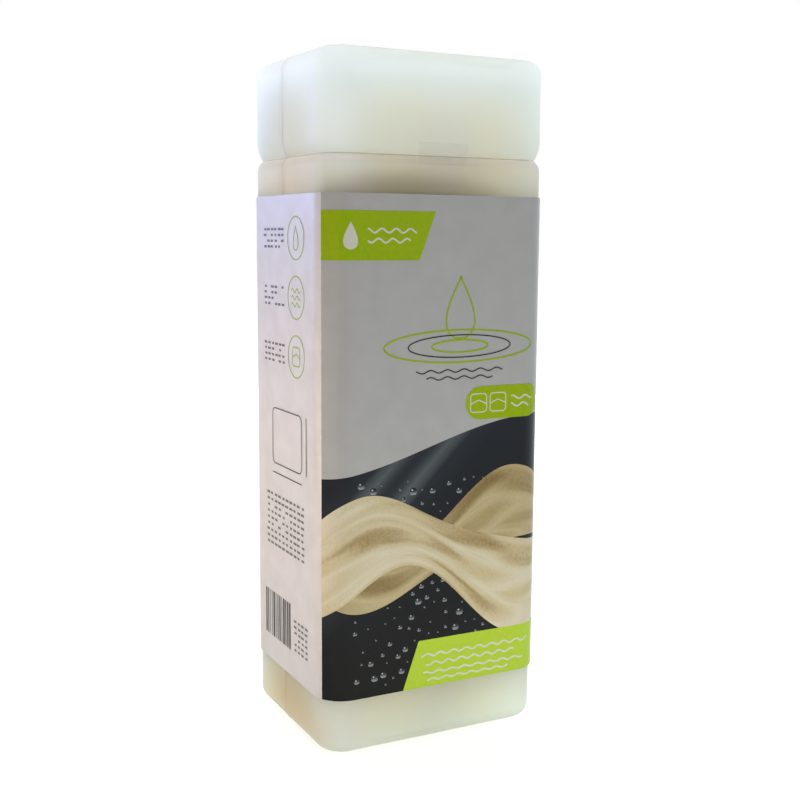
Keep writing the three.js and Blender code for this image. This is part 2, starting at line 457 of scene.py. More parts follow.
@dataclass(frozen=True)
class DrapedClothPicture(LacqueredPrint):
    """A printed picture of soft cream cloth: broad folds that run along it, tan in their hollows."""

    roughness: float = 0.38
    crest: str = "#F3ECD2"
    middle: str = "#E2D5AB"
    hollow: str = "#A98F5C"
    fold: float = 9.0
    fold_stretch: float = 0.16
    nap: float = 1.0
    nap_share: float = 0.12

    def printed(self, tree: Tree) -> tuple[Socket, Socket | float]:
        """Gives printed folds from the cloth's own map, which runs along and across it.

        Args:
            tree: The material's tree.

        Returns:
            The colour and the lacquer's roughness.
        """
        cloth = add_node(tree, "UVMap", uv_map=DRAPE)["UV"]
        along = {"Vector": cloth, "Scale": (self.fold_stretch, 1.0, 1.0)}
        stretched = add_node(tree, "Mapping", along)["Vector"]
        soft = {"Vector": stretched, "Scale": per_mm(self.fold), "Detail": 2.0, "Distortion": 0.6}
        folds = add_node(tree, "TexNoise", soft)["Fac"]
        brushed = {"Vector": cloth, "Scale": per_mm(self.nap), "Detail": 4.0}
        nap = add_node(tree, "TexNoise", brushed)["Fac"]
        tone = add_node(tree, "Math", {0: nap, 1: self.nap_share, 2: folds}, operation="MULTIPLY_ADD")[0]
        creams = {0.36: self.hollow, 0.5: self.middle, 0.62: self.crest, 0.8: self.middle}
        return add_node(tree, "ValToRGB", {"Fac": tone}, creams)["Color"], self.roughness


@dataclass(frozen=True)
class WaterBeadPicture(LacqueredPrint):
    """Printed beads of water: dark above, light gathered below, and one bright spot."""

    shine: float = 0.15
    roughness: float = 0.3
    rim: str = "#101316"
    body: str = "#3B454F"
    gathered: str = "#A9B4BC"
    spot: str = "#F7FAFB"
    spot_place: Place = (-0.3, 0.42, 0.0)

    def printed(self, tree: Tree) -> tuple[Socket, Socket | float]:
        """Shades each bead by the place within it, which its mesh carries.

        Args:
            tree: The material's tree.

        Returns:
            The colour and the lacquer's roughness.
        """
        within = add_node(tree, "Attribute", attribute_name=BEAD)["Vector"]
        height = add_node(tree, "SeparateXYZ", {"Vector": within})["Y"]
        drop = add_node(tree, "MapRange", {"Value": height, "From Min": 0.9, "From Max": -0.95})["Result"]
        tones = {0.0: self.rim, 0.45: self.body, 0.85: self.gathered, 1.0: self.rim}
        body = add_node(tree, "ValToRGB", {"Fac": drop}, tones)["Color"]
        gap = add_node(tree, "VectorMath", {0: within, 1: self.spot_place}, operation="DISTANCE")["Value"]
        bright = add_node(tree, "MapRange", {"Value": gap, "From Min": 0.26, "From Max": 0.12})["Result"]
        colours = {0: bright, 6: body, 7: linear(self.spot)}
        return add_node(tree, "Mix", colours, data_type="RGBA")[2], self.roughness


@dataclass(frozen=True)
class ClearFilm(Finish):
    """Clear polypropylene tape: it shows what it covers and adds a smooth shine of its own."""

    tint: str = "#FFFFFF"
    haze: str = "#F2F2EC"
    cover: float = 0.003
    cover_drift: float = 0.5
    streak: float = 2.2
    streak_stretch: float = 0.12
    lifted_middle: float = 202.9
    lifted_reach: float = 3.6
    lifted_cover: float = 0.07

    def shader(self, tree: Tree) -> Socket:
        """Lays a thin shine and a faint haze over a see-through film.

        Args:
            tree: The material's tree.

        Returns:
            The shader socket.
        """
        place = add_node(tree, "TexCoord")["Object"]
        # The adhesive was spread along the tape, so its haze is drawn out upwards.
        upwards = {"Vector": place, "Scale": (1.0, 1.0, self.streak_stretch)}
        drawn = add_node(tree, "Mapping", upwards)["Vector"]
        spread = {"Vector": drawn, "Scale": per_mm(self.streak), "Detail": 3.0}
        streaks = add_node(tree, "TexNoise", spread)["Fac"]
        drift = self.cover * self.cover_drift
        faint = {"Value": streaks, "To Min": self.cover - drift, "To Max": self.cover + drift}
        cover = add_node(tree, "MapRange", faint)["Result"]
        # The film is hazy where it spans the groove, because its adhesive touches nothing there.
        height = add_node(tree, "SeparateXYZ", {0: place})["Z"]
        groove = {0: height, 1: self.lifted_middle * MM, 2: self.lifted_reach * MM}
        lifted = add_node(tree, "Math", groove, operation="COMPARE")[0]
        hazy = {0: lifted, 1: self.lifted_cover, 2: cover}
        cover = add_node(tree, "Math", hazy, operation="MULTIPLY_ADD")[0]
        clear = add_node(tree, "BsdfTransparent", {"Color": linear(self.tint)})[0]
        smooth = {"Base Color": linear(self.haze), "Roughness": 0.12, "IOR": 1.49}
        shine = add_node(tree, "BsdfPrincipled", smooth)[0]
        return add_node(tree, "MixShader", {0: cover, 1: clear, 2: shine})[0]


@dataclass(frozen=True)
class ChamoisSuede(Finish):
    """Oil-tanned sheepskin split with a brushed nap: cream, matt, mottled and soft at the edges."""

    pale: str = "#F9E7BA"
    cream: str = "#F2DBA2"
    tan: str = "#DEBC78"
    blotch: float = 22.0
    nap: float = 0.7
    nap_share: float = 0.35
    nap_depth: float = 0.12

    def shader(self, tree: Tree) -> Socket:
        """Gives mottled suede whose nap catches light at the edges.

        Args:
            tree: The material's tree.

        Returns:
            The shader socket.
        """
        place = add_node(tree, "TexCoord")["Object"]
        blotch, nap = (
            add_node(tree, "TexNoise", {"Vector": place, "Scale": per_mm(size), "Detail": detail})["Fac"]
            for size, detail in ((self.blotch, 5.0), (self.nap, 4.0))
        )
        tone = add_node(tree, "Math", {0: nap, 1: self.nap_share, 2: blotch}, operation="MULTIPLY_ADD")[0]
        creams = {0.42: self.tan, 0.62: self.cream, 0.85: self.pale}
        colour = add_node(tree, "ValToRGB", {"Fac": tone}, creams)["Color"]
        raised = {"Height": nap, "Distance": self.nap_depth * MM, "Strength": 0.8}
        relief = add_node(tree, "Bump", raised)["Normal"]
        brushed = {"Base Color": colour, "Roughness": 0.95, "Normal": relief}
        brushed |= {"Sheen Weight": 0.4, "Sheen Roughness": 0.5}
        return add_node(tree, "BsdfPrincipled", brushed)[0]


@dataclass(frozen=True)
class StudioSweep(Finish):
    """A white floor that the camera sees as white, and that still takes the object's shadow.

    Reaches are in metres from the object's axis: within the near one the floor takes the shadow, and
    past the far one it is as white as the background.
    """

    paint: str = "#F2F2F2"
    lift: float = 0.56
    near_reach: float = 0.2
    far_reach: float = 0.7

    def shader(self, tree: Tree) -> Socket:
        """Adds white for the rays that show the floor, and more of it further out.

        Args:
            tree: The material's tree.

        Returns:
            The shader socket.
        """
        place = add_node(tree, "TexCoord")["Object"]
        reach = add_node(tree, "VectorMath", {0: place}, operation="LENGTH")["Value"]
        outwards = {"From Min": self.near_reach, "From Max": self.far_reach, "To Min": self.lift}
        lift = add_node(tree, "MapRange", {"Value": reach, **outwards})["Result"]
        strength = add_node(tree, "Math", {0: rays_that_show(tree), 1: lift}, operation="MULTIPLY")[0]
        matt = add_node(tree, "BsdfDiffuse", {"Color": linear(self.paint)})[0]
        white = add_node(tree, "Emission", {"Strength": strength})[0]
        return add_node(tree, "AddShader", {0: matt, 1: white})[0]


def rays_that_show(tree: Tree) -> Socket:
    """Gives 1 for rays that show a background: from the camera, off a gloss or through a clear film.

    Args:
        tree: Shader tree of a floor or a world.

    Returns:
        The value socket.
    """
    path = add_node(tree, "LightPath")
    shown = path["Is Camera Ray"]
    for ray in ("Is Glossy Ray", "Is Transmission Ray"):
        shown = add_node(tree, "Math", {0: shown, 1: path[ray]}, operation="MAXIMUM")[0]
    return shown


def bend(wall_point: Flat, end: Flat, steps: int = 12) -> Profile:
    """Gives the arc that leaves an upright wall at one profile point and ends at another.

    Args:
        wall_point: Where the arc leaves the wall, as inset and height.
        end: Where it ends.
        steps: Facets along it.

    Returns:
        The arc's points, both ends included.
    """
    depth, rise = end[0] - wall_point[0], end[1] - wall_point[1]
    angle = 2 * math.atan2(abs(depth), abs(rise))
    arc = []
    for step in range(steps + 1):
        turned = angle * step / steps
        inward = (1 - math.cos(turned)) / (1 - math.cos(angle))
        along = math.sin(turned) / math.sin(angle)
        arc.append((wall_point[0] + depth * inward, wall_point[1] + rise * along))
    return arc


def eased(profile: Profile, radius: float, steps: int = 4, side_share: float = 0.45) -> list[Vector]:
    """Rounds the sharp corners of a profile.

    Args:
        profile: The points, of which the two ends stay.
        radius: How far the rounding reaches along each side of a corner, at most.
        steps: Facets to a corner.
        side_share: Share of a side's length that a rounding takes, at most.

    Returns:
        The rounded profile.
    """
    points = [Vector(point) for point in profile]
    rounded = [points[0]]
    for before, corner, after in zip(points, points[1:], points[2:]):
        back, onward = before - corner, after - corner
        if math.pi - back.angle(onward) < SHARP_ANGLE:
            rounded.append(corner)
            continue
        cut = min(radius, side_share * back.length, side_share * onward.length)
        start = corner + back.normalized() * cut
        stop = corner + onward.normalized() * cut
        for step in range(steps + 1):
            part = step / steps
            rounded.append(start.lerp(corner, part).lerp(corner.lerp(stop, part), part))
    rounded.append(points[-1])
    return rounded


def divided(profile: Profile | list[Vector], longest: float) -> list[Vector]:
    """Splits the long stretches of a profile.

    Args:
        profile: The points.
        longest: The longest stretch that is left whole.

    Returns:
        The points with those between them.
    """
    corners = [Vector(point) for point in profile]
    points = corners[:1]
    for start, stop in zip(corners, corners[1:]):
        pieces = max(1, math.ceil((stop - start).length / longest))
        points += [start.lerp(stop, piece / pieces) for piece in range(1, pieces + 1)]
    return points


def plain_mesh(source: Piece) -> Mesh:
    """Turns an object with its modifiers into a plain mesh, and removes the object.

    Args:
        source: The object, in the scene.

    Returns:
        The evaluated mesh.
    """
    bpy.context.view_layer.update()
    shown = source.evaluated_get(bpy.context.evaluated_depsgraph_get())
    mesh = bpy.data.meshes.new_from_object(shown)
    source.modifiers.clear()
    bpy.data.objects.remove(source)
    return mesh


def mesh_of(name: str, drawn: bmesh.types.BMesh) -> Mesh:
    """Turns a drawn mesh into a plain one, and frees what was drawn.

    Args:
        name: The mesh's name.
        drawn: What was drawn.

    Returns:
        The mesh.
    """
    mesh = bpy.data.meshes.new(name)
    drawn.to_mesh(mesh)
    drawn.free()
    return mesh


def placed(name: str, mesh: Mesh) -> Piece:
    """Puts a mesh into the scene at the origin.

    Args:
        name: The object's name.
        mesh: Its mesh.

    Returns:
        The object.
    """
    made = bpy.data.objects.new(name, mesh)
    bpy.context.scene.collection.objects.link(made)
    return made


def thickened(points: list[Vector], columns: int, thickness: float, edge_place: int = 0) -> Mesh:
    """Gives a thin sheet its thickness, half to each side.

    Args:
        points: The sheet's points, in metres, column by column.
        columns: How many columns it has.
        thickness: In millimetres.
        edge_place: Material place of the cut edges.

    Returns:
        The closed mesh.
    """
    rows = len(points) // columns
    starts = [column * rows + row for column in range(columns - 1) for row in range(rows - 1)]
    sheet = bpy.data.meshes.new("sheet")
    sheet.from_pydata(points, [], [(at, at + rows, at + rows + 1, at + 1) for at in starts])
    for _ in range(edge_place + 1):
        sheet.materials.append(None)
    source = placed("sheet", sheet)
    solid = source.modifiers.new("thickness", "SOLIDIFY")
    solid.thickness = thickness * MM
    solid.offset = 0.0
    solid.use_even_offset = True
    solid.material_offset_rim = edge_place
    return plain_mesh(source)


def make_piece(
    name: str, mesh: Mesh, finishes: Iterable[Finish], body: str, stands_for: Sequence[str] = ()
) -> Piece:
    """Makes a finished piece that moves with a body of the frame.

    Args:
        name: The piece's name.
        mesh: Its mesh, in the frame's place.
        finishes: One finish for each of the mesh's material places.
        body: The body that it rides on.
        stands_for: The frame's nodes that it takes the place of.

    Returns:
        The piece.
    """
    mesh.name = name
    piece = placed(name, mesh)
    for place, finish in enumerate(finishes):
        if place == len(mesh.materials):
            mesh.materials.append(None)
        mesh.materials[place] = finish.material()
    mesh.shade_smooth()
    mesh.set_sharp_from_angle(angle=SHARP_ANGLE)
    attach(piece, body)
    if stands_for:
        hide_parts(*stands_for)
    LOG.info("%s: %d faces, rides on %s", name, len(mesh.polygons), body)
    return piece


class OutlinePoint(NamedTuple):
    """A point of the moulding's outline: its place and outward direction seen from above, and its ridge.

    The ridge is the share of the parting ridge's height that stands there.
    """

    x: float
    y: float
    out_x: float
    out_y: float
    ridge: float


@dataclass(frozen=True)
class Moulding:
    """The rounded-rectangle bottle that the tub and the lid were cut from."""

    half_width: float
    half_depth: float
    corner_radius: float = 10.0
    wall: float = 1.2
    groove_depth: float = 1.8
    lid_fit: float = 0.3
    cap_inset: float = 33.0
    least_radius: float = 0.6
    edge_rounding: float = 0.45
    longest_facet: float = 6.0
    corner_steps: int = 14
    side_steps: int = 12
    ridge_half_width: float = 0.22
    ridge_height: float = 0.13
    ridge_share: float = 0.08
    ridge_clearance: float = 0.5
    ridge_flank: float = 0.45
    ridge_flank_height: float = 0.7
    wave_height: float = 0.1
    wave_length: float = 42.0

    @property
    def neck_inset(self) -> float:
        """How far the neck's outside lies inside the body's outline."""
        return self.groove_depth + self.wall + self.lid_fit

    def side_offsets(self, half_length: float, ridge_at: float | None) -> list[Flat]:
        """Gives the places along one flat side, and how high the parting ridge stands at each.

        Args:
            half_length: Half of the side's flat length.
            ridge_at: Offset from the side's middle at which the mould parted, if it parted here.

        Returns:
            Offset from the side's middle and share of the ridge's height, for each place.
        """
        if ridge_at is None:
            steps = self.side_steps
            return [(half_length * (2 * step / steps - 1), 0.0) for step in range(steps + 1)]
        steps = self.side_steps // 2
        before = half_length + ridge_at - self.ridge_half_width
        after = half_length - ridge_at - self.ridge_half_width
        near = [(before * step / steps - half_length, 0.0) for step in range(steps + 1)]
        far = [(half_length - after * (1 - step / steps), 0.0) for step in range(steps + 1)]
        flank = self.ridge_flank * self.ridge_half_width
        flanks = [(ridge_at + flank * side, self.ridge_flank_height) for side in (-1, 1)]
        return [*near, flanks[0], (ridge_at, 1.0), flanks[1], *far]

    def outline(self, inset: float) -> list[OutlinePoint]:
        """Draws the body's outline, drawn in by an inset, anticlockwise from the right-hand side.

        Args:
            inset: How far it lies inside the outermost outline.

        Returns:
            Its points, as many for every inset.
        """
        radius = max(self.corner_radius - inset, self.least_radius)
        reaches = (self.half_width - inset, self.half_depth - inset)
        points = []
        for side in range(4):
            angle = side * math.pi / 2
            out = Vector((math.cos(angle), math.sin(angle)))
            along = Vector((-out.y, out.x))
            reach = reaches[side % 2]
            half_length = reaches[1 - side % 2] - radius
            # The mould parted along the left and right sides, a little behind their middles.
            ridge_at = self.ridge_share * half_length * along.y if side % 2 == 0 else None
            for offset, ridge in self.side_offsets(half_length, ridge_at):
                points.append(OutlinePoint(*(out * reach + along * offset), *out, ridge))
            centre = out * (reach - radius) + along * half_length
            for step in range(1, self.corner_steps):
                turned = angle + math.pi / 2 * step / self.corner_steps
                turn_out = Vector((math.cos(turned), math.sin(turned)))
                points.append(OutlinePoint(*(centre + turn_out * radius), *turn_out, 0.0))
        return points

    def lifted(self, profile: list[Vector], place: int, point: OutlinePoint) -> Vector:
        """Places one point of an outside wall, with the parting ridge and the wall's faint waves.

        Args:
            profile: The outside profile.
            place: Which point of it.
            point: The point of that height's outline.

        Returns:
            The place, in millimetres.
        """
        inset, height = profile[place]
        run = profile[min(place + 1, len(profile) - 1)] - profile[max(place - 1, 0)]
        run.normalize()
        ridge = self.ridge_height * point.ridge
        if height < self.ridge_clearance or inset >= self.cap_inset:
            ridge = 0.0
        flatness = max(0.0, 1.0 - inset)
        here = Vector((point.x, point.y, height))
        wave = self.wave_height * flatness * noise.noise(here / self.wave_length)
        outward = run.y * ridge + wave
        return here + Vector((point.out_x * outward, point.out_y * outward, run.x * ridge))

    def loft(self, stretches: Sequence[tuple[Profile, bool]]) -> Mesh:
        """Joins outlines along a profile into one closed wall.

        Args:
            stretches: The profile's stretches in order, each with whether it is on the outside.
                The material lies on the left of them.

        Returns:
            The mesh, in metres.
        """
        shell = bmesh.new()
        rings = []
        for profile, outside in stretches:
            smooth = divided(eased(profile, self.edge_rounding), self.longest_facet)
            for place, (inset, height) in enumerate(smooth):
                if rings and place == 0:
                    continue
                outline = self.outline(inset)
                if outside:
                    spots = [self.lifted(smooth, place, point) for point in outline]
                else:
                    spots = [Vector((point.x, point.y, height)) for point in outline]
                rings.append([shell.verts.new(spot * MM) for spot in spots])
        shell.faces.new(list(reversed(rings[0])))
        shell.faces.new(rings[-1])
        for lower, upper in zip(rings, rings[1:]):
            for place, corner in enumerate(lower):
                after = (place + 1) % len(lower)
                shell.faces.new((corner, lower[after], upper[after], upper[place]))
        return mesh_of("moulding", shell)


@dataclass(frozen=True)
class Tub:
    """The lower part of the bottle, with its base, its shoulder and the neck that takes the lid."""

    body: Moulding
    neck_top: float
    neck_height: float = 27.0
    base_fillet: float = 5.0
    stand_width: float = 6.0
    push_up: float = 2.0
    push_up_slope: float = 4.0
    shoulder_height: float = 3.6

    @property
    def ledge(self) -> float:
        """Height of the ledge that the lid's rim sits on."""
        return self.neck_top - self.neck_height

    def shoulder(self) -> Profile:
        """Gives the outside of the shoulder, from the wall up to the ledge."""
        wall_point = (0.0, self.ledge - self.shoulder_height)
        return bend(wall_point, (self.body.groove_depth, self.ledge))

    def outside(self) -> Profile:
        """Gives the outside profile.

        Returns:
            Its points, from the middle of the base to the middle of the neck's rim.
        """
        stand = self.base_fillet + self.stand_width
        neck = self.body.neck_inset
        return [
            (self.body.cap_inset, self.push_up),
            (stand + self.push_up_slope, self.push_up),
            (stand, 0.0),
            *reversed(bend((0.0, self.base_fillet), (self.base_fillet, 0.0))),
            *self.shoulder(),
            (neck, self.ledge),
            (neck, self.neck_top),
            (neck + self.body.wall / 2, self.neck_top),
        ]

    def inside(self) -> Profile:
        """Gives the inside profile.

        Returns:
            Its points, from the middle of the neck's rim to the middle of the floor.
        """
        wall = self.body.wall
        stand = self.base_fillet + self.stand_width
        neck = self.body.neck_inset
        under_ledge = (self.body.groove_depth + wall, self.ledge - wall)
        return [
            (neck + wall / 2, self.neck_top),
            (neck + wall, self.neck_top),
            (neck + wall, self.ledge - wall),
            *reversed(bend((wall, self.ledge - self.shoulder_height), under_ledge)),
            *bend((wall, self.base_fillet), (self.base_fillet, wall)),
            (stand, wall),
            (stand + self.push_up_slope, self.push_up + wall),
            (self.body.cap_inset, self.push_up + wall),
        ]

    def build(self, finish: Finish) -> Piece:
        """Makes the tub's wall and hangs it on the tub's body."""
        mesh = self.body.loft([(self.outside(), True), (self.inside(), False)])
        return make_piece("tub_wall", mesh, [finish], "tub", ["tub"])


@dataclass(frozen=True)
class Lid:
    """The upper part of the bottle, whose rim curls in and grips the neck."""

    body: Moulding
    rim: float
    top: float
    top_fillet: float = 5.0
    curl_height: float = 6.5
    lip_height: float = 1.5
    top_sink: float = 0.25

    def curl(self) -> Profile:
        """Gives the outside of the curl, from the wall down to the rim."""
        return bend((0.0, self.rim + self.curl_height), (self.body.groove_depth, self.rim))

    def inside(self) -> Profile:
        """Gives the inside profile.

        Returns:
            Its points, from the middle of the ceiling to the middle of the rim.
        """
        wall = self.body.wall
        lip = self.body.groove_depth + wall
        ceiling = self.top - wall
        return [
            (self.body.cap_inset, ceiling - self.top_sink),
            *reversed(bend((wall, self.top - self.top_fillet), (self.top_fillet, ceiling))),
            *bend((wall, self.rim + self.curl_height), (lip, self.rim + self.lip_height)),
            (lip, self.rim),
            (lip - wall / 2, self.rim),
        ]

    def outside(self) -> Profile:
        """Gives the outside profile.

        Returns:
            Its points, from the middle of the rim to the middle of the top.
        """
        return [
            (self.body.groove_depth + self.body.wall / 2, self.rim),
            *reversed(self.curl()),
            *bend((0.0, self.top - self.top_fillet), (self.top_fillet, self.top)),
            (self.body.cap_inset, self.top - self.top_sink),
        ]

    def build(self, finish: Finish) -> Piece:
        """Makes the lid's wall and hangs it on the lid's body."""
        mesh = self.body.loft([(self.inside(), False), (self.outside(), True)])
        return make_piece("lid_wall", mesh, [finish], "lid", ["lid"])


@dataclass(frozen=True)
class SealTape:
    """A strip of clear tape from the tub's wall, across the groove, to the lid's wall."""

    tub: Tub
    lid: Lid
    width: float = 18.5
    film: float = 0.1
    adhesive: float = 0.05
    above: float = 15.0
    below: float = 11.0
    bridge: float = 0.3
    columns: int = 38
    rows: int = 90
    wrinkle_height: float = 0.2
    wrinkle_above_rim: float = 1.0
    wrinkle_reach: float = 2.2
    crease_place: float = 0.42
    crease_reach: float = 2.4
    uncreased: float = 0.35
    fold_width: float = 1.7
    fold_length: float = 2.6
    fold_seed: float = 3.0

    def route(self) -> Profile:
        """Gives the strip's path.

        Returns:
            Its points as inset and height, from its lower end to its upper end.
        """
        shoulder = self.tub.shoulder()
        follow = round((len(shoulder) - 1) * self.bridge) + 1
        return [
            (0.0, self.tub.ledge - self.below),
            *shoulder[:follow],
            *reversed(self.lid.curl()[:follow]),
            (0.0, self.lid.rim + self.above),
        ]

    def wrinkle(self, across: float, height: float) -> float:
        """Gives how far the film stands off where it spans the groove and has creased.

        Args:
            across: Place from the strip's middle, along X.
            height: Height above the floor.

        Returns:
            The lift, in millimetres.
        """
        from_seam = height - self.lid.rim - self.wrinkle_above_rim
        from_crease = across - self.crease_place * self.width
        seam = math.exp(-((from_seam / self.wrinkle_reach) ** 2))
        crease = math.exp(-((from_crease / self.crease_reach) ** 2))
        creased = self.uncreased + (1 - self.uncreased) * crease
        folds = noise.noise(Vector((across / self.fold_width, height / self.fold_length, self.fold_seed)))
        return self.wrinkle_height * seam * creased * folds

    def build(self, film: Finish, cut_edge: Finish) -> Piece:
        """Makes the strip and hangs it on the lid, which it stays on when the lid is pulled off.

        Args:
            film: Finish of its faces.
            cut_edge: Finish of its edges.

        Returns:
            The piece.
        """
        route = divided(self.route(), (self.above + self.below) / self.rows)
        front = -self.lid.body.half_depth
        stand_off = self.adhesive + self.film / 2
        points = []
        for column in range(self.columns + 1):
            across = self.width * (column / self.columns - 0.5)
            for inset, height in route:
                lift = stand_off + self.wrinkle(across, height)
                points.append(Vector((across, front + inset - lift, height)) * MM)
        mesh = thickened(points, self.columns + 1, self.film, edge_place=1)
        return make_piece("seal_tape_film", mesh, [film, cut_edge], "lid", ["seal_tape"])


class Panel(Enum):
    """A side of the sleeve, by how many other sides lie before it along the strip."""

    FRONT = 0
    RIGHT = 1
    BACK = 2
    LEFT = 3


class Film(Enum):
    """A layer of the print, by how many films lie under it, counting the card."""

    FIELD = 1
    BEADS = 2
    CLOTH_BEHIND = 3
    CLOTH_BEFORE = 4
    LIME = 5
    SIGNS = 6


@dataclass(frozen=True)
class CardSleeve:
    """A strip of card wrapped round the tub, with its end glued down over its start at the back.

    Places on it are given unrolled: along the strip from the start of the front-left corner,
    anticlockwise seen from above, and in height above the floor.
    """

    body: Moulding
    bottom: float
    top: float
    card: float = 0.35
    fit: float = 0.3
    flap_width: float = 12.0
    flap_centre: float = -22.0
    flap_ramp: float = 5.0
    flap_ramp_steps: int = 4
    flap_lift: float = 1.06
    facet: float = 3.0
    corner_facet: float = 1.05
    ripple_height: float = 0.11
    ripple_length: float = 46.0
    ripple_seed: float = 11.0
    crease_height: float = 0.09
    crease_width: float = 0.45
    crease_turn: float = 28.0
    crease_bends: tuple[float, ...] = (-1.6, -0.8, 0.8, 1.6)
    ink_step: float = 0.02
    ink_film: float = 0.012

    @property
    def radius(self) -> float:
        """Corner radius of the printed face."""
        return self.body.corner_radius + self.fit + self.card

    @property
    def arc(self) -> float:
        """Length of the strip round one corner."""
        return self.radius * math.pi / 2

    @property
    def flats(self) -> Flat:
        """Flat lengths of the front or back, and of the left or right side."""
        radius = self.body.corner_radius
        return 2 * (self.body.half_width - radius), 2 * (self.body.half_depth - radius)

    @property
    def girth(self) -> float:
        """Length of the strip once round the tub."""
        return 4 * self.arc + 2 * sum(self.flats)

    def middle(self, panel: Panel) -> float:
        """Finds the middle of a side.

        Args:
            panel: The side.

        Returns:
            The place along the strip.
        """
        place = panel.value * self.arc + self.arc
        for side in range(panel.value):
            place += self.flats[side % 2]
        place += self.flats[panel.value % 2] / 2
        return place - self.girth if panel is Panel.LEFT else place

    @property
    def creases(self) -> Flat:
        """Places of the two creases that bound the front, each part of the way round a corner."""
        inset = self.radius * math.radians(self.crease_turn)
        return inset, 2 * self.arc + self.flats[0] - inset

    @property
    def ends(self) -> Flat:
        """Places of the strip's start, which is covered, and of its end, which is on top."""
        end = self.middle(Panel.BACK) - self.flap_centre + self.flap_width / 2
        return end - self.flap_width - self.girth, end

    def place(self, along: float) -> tuple[Vector, Vector]:
        """Finds a place on the printed face, seen from above.

        Args:
            along: Place along the strip.

        Returns:
            The point and its outward direction.
        """
        left = round(along, PLACE_DIGITS) % self.girth
        for side, (sign_x, sign_y) in enumerate(((-1, -1), (1, -1), (1, 1), (-1, 1))):
            start = math.pi * (1 + side / 2)
            centre = Vector((sign_x * self.flats[0] / 2, sign_y * self.flats[1] / 2))
            turned = start + min(left, self.arc) / self.radius
            out = Vector((math.cos(turned), math.sin(turned)))
            left -= self.arc
            if left <= 0:
                return centre + out * self.radius, out
            flat = self.flats[side % 2]
            if left <= flat:
                return centre + out * self.radius + Vector((-out.y, out.x)) * left, out
            left -= flat
        raise ValueError(f"{along} is not on the strip")

    def stand_off(self, along: float, height: float) -> float:
        """Gives how far the card stands off its true outline: ripples, creases and the glued end.

        Args:
            along: Place along the strip.
            height: Height above the floor.

        Returns:
            The distance, in millimetres.
        """
        ripple = noise.noise(Vector((along, height, self.ripple_seed)) / self.ripple_length)
        fold = sum(math.exp(-(((along - crease) / self.crease_width) ** 2)) for crease in self.creases)
        covered = self.ends[0] + self.girth
        climb = smooth_step((along - covered + self.flap_ramp) / self.flap_ramp)
        glued = self.flap_lift * self.card * climb
        return self.ripple_height * ripple + self.crease_height * fold + glued

    def wrap(self, along: float, height: float, lift: float) -> Vector:
        """Places a point of the unrolled strip on the tub.

        Args:
            along: Place along the strip.
            height: Height above the floor.
            lift: Distance above the printed face.

        Returns:
            The place, in metres.
        """
        point, out = self.place(along)
        spot = point + out * (lift + self.stand_off(along, height))
        return Vector((spot.x, spot.y, height)) * MM

    def columns(self) -> list[float]:
        """Finds where the card and the print on it may bend.

        Returns:
            The places along the strip, in order.
        """
        start, end = self.ends
        marks = {start, end}
        place = -self.girth
        while place < end:
            for side in range(4):
                for length, facet in ((self.arc, self.corner_facet), (self.flats[side % 2], self.facet)):
                    steps = math.ceil(length / facet)
                    marks.update(place + length * step / steps for step in range(steps))
                    place += length
        for crease in self.creases:
            marks.update(crease + self.crease_width * share for share in self.crease_bends)
        covered = start + self.girth
        ramp_steps = self.flap_ramp_steps
        marks.update(covered - self.flap_ramp * step / ramp_steps for step in range(ramp_steps + 1))
        return sorted({round(mark, PLACE_DIGITS) for mark in marks if start <= mark <= end})

    def rows(self) -> list[float]:
        """Gives the heights where the card and the print on it may bend."""
        steps = math.ceil((self.top - self.bottom) / (2 * self.facet))
        return [self.bottom + (self.top - self.bottom) * step / steps for step in range(steps + 1)]

    def build(self, printed: Finish, core: Finish, inside: Finish) -> Piece:
        """Makes the card and hangs it on the sleeve's body.

        Args:
            printed: Finish of the coated outside.
            core: Finish of the cut edges.
            inside: Finish of the inside.

        Returns:
            The piece.
        """
        columns, rows = self.columns(), self.rows()
        (left, right), (low, high) = (columns[0], columns[-1]), (rows[0], rows[-1])
        corners = ((left, low), (right, low), (right, high), (left, high))
        flat = bmesh.new()
        flat.faces.new([flat.verts.new((*corner, 0.0)) for corner in corners])
        mesh = self.wrapped("card", flat, 0.0, self.card)
        facets = (len(columns) - 1) * (len(rows) - 1)
        on_face, on_edge, on_back = range(3)
        for number, face in enumerate(mesh.polygons):
            face.material_index = on_edge
            if number < 2 * facets:
                face.material_index = on_face if number < facets else on_back
        finishes = [printed, core, inside]
        return make_piece("sleeve_card", mesh, finishes, "sleeve", ["label_sleeve"])

    def cut_to_bends(self, flat: FlatPrint) -> None:
        """Cuts a flat print wherever the card under it may bend.

        Args:
            flat: The print, in millimetres along the strip and upwards.
        """
        for axis, marks in ((0, self.columns()), (1, self.rows())):
            low = min(vert.co[axis] for vert in flat.verts)
            high = max(vert.co[axis] for vert in flat.verts)
            normal = Vector((1 - axis, axis, 0))
            for mark in marks[bisect_right(marks, low) : bisect_right(marks, high)]:
                everything = [*flat.verts, *flat.edges, *flat.faces]
                bmesh.ops.bisect_plane(flat, geom=everything, plane_co=normal * mark, plane_no=normal)

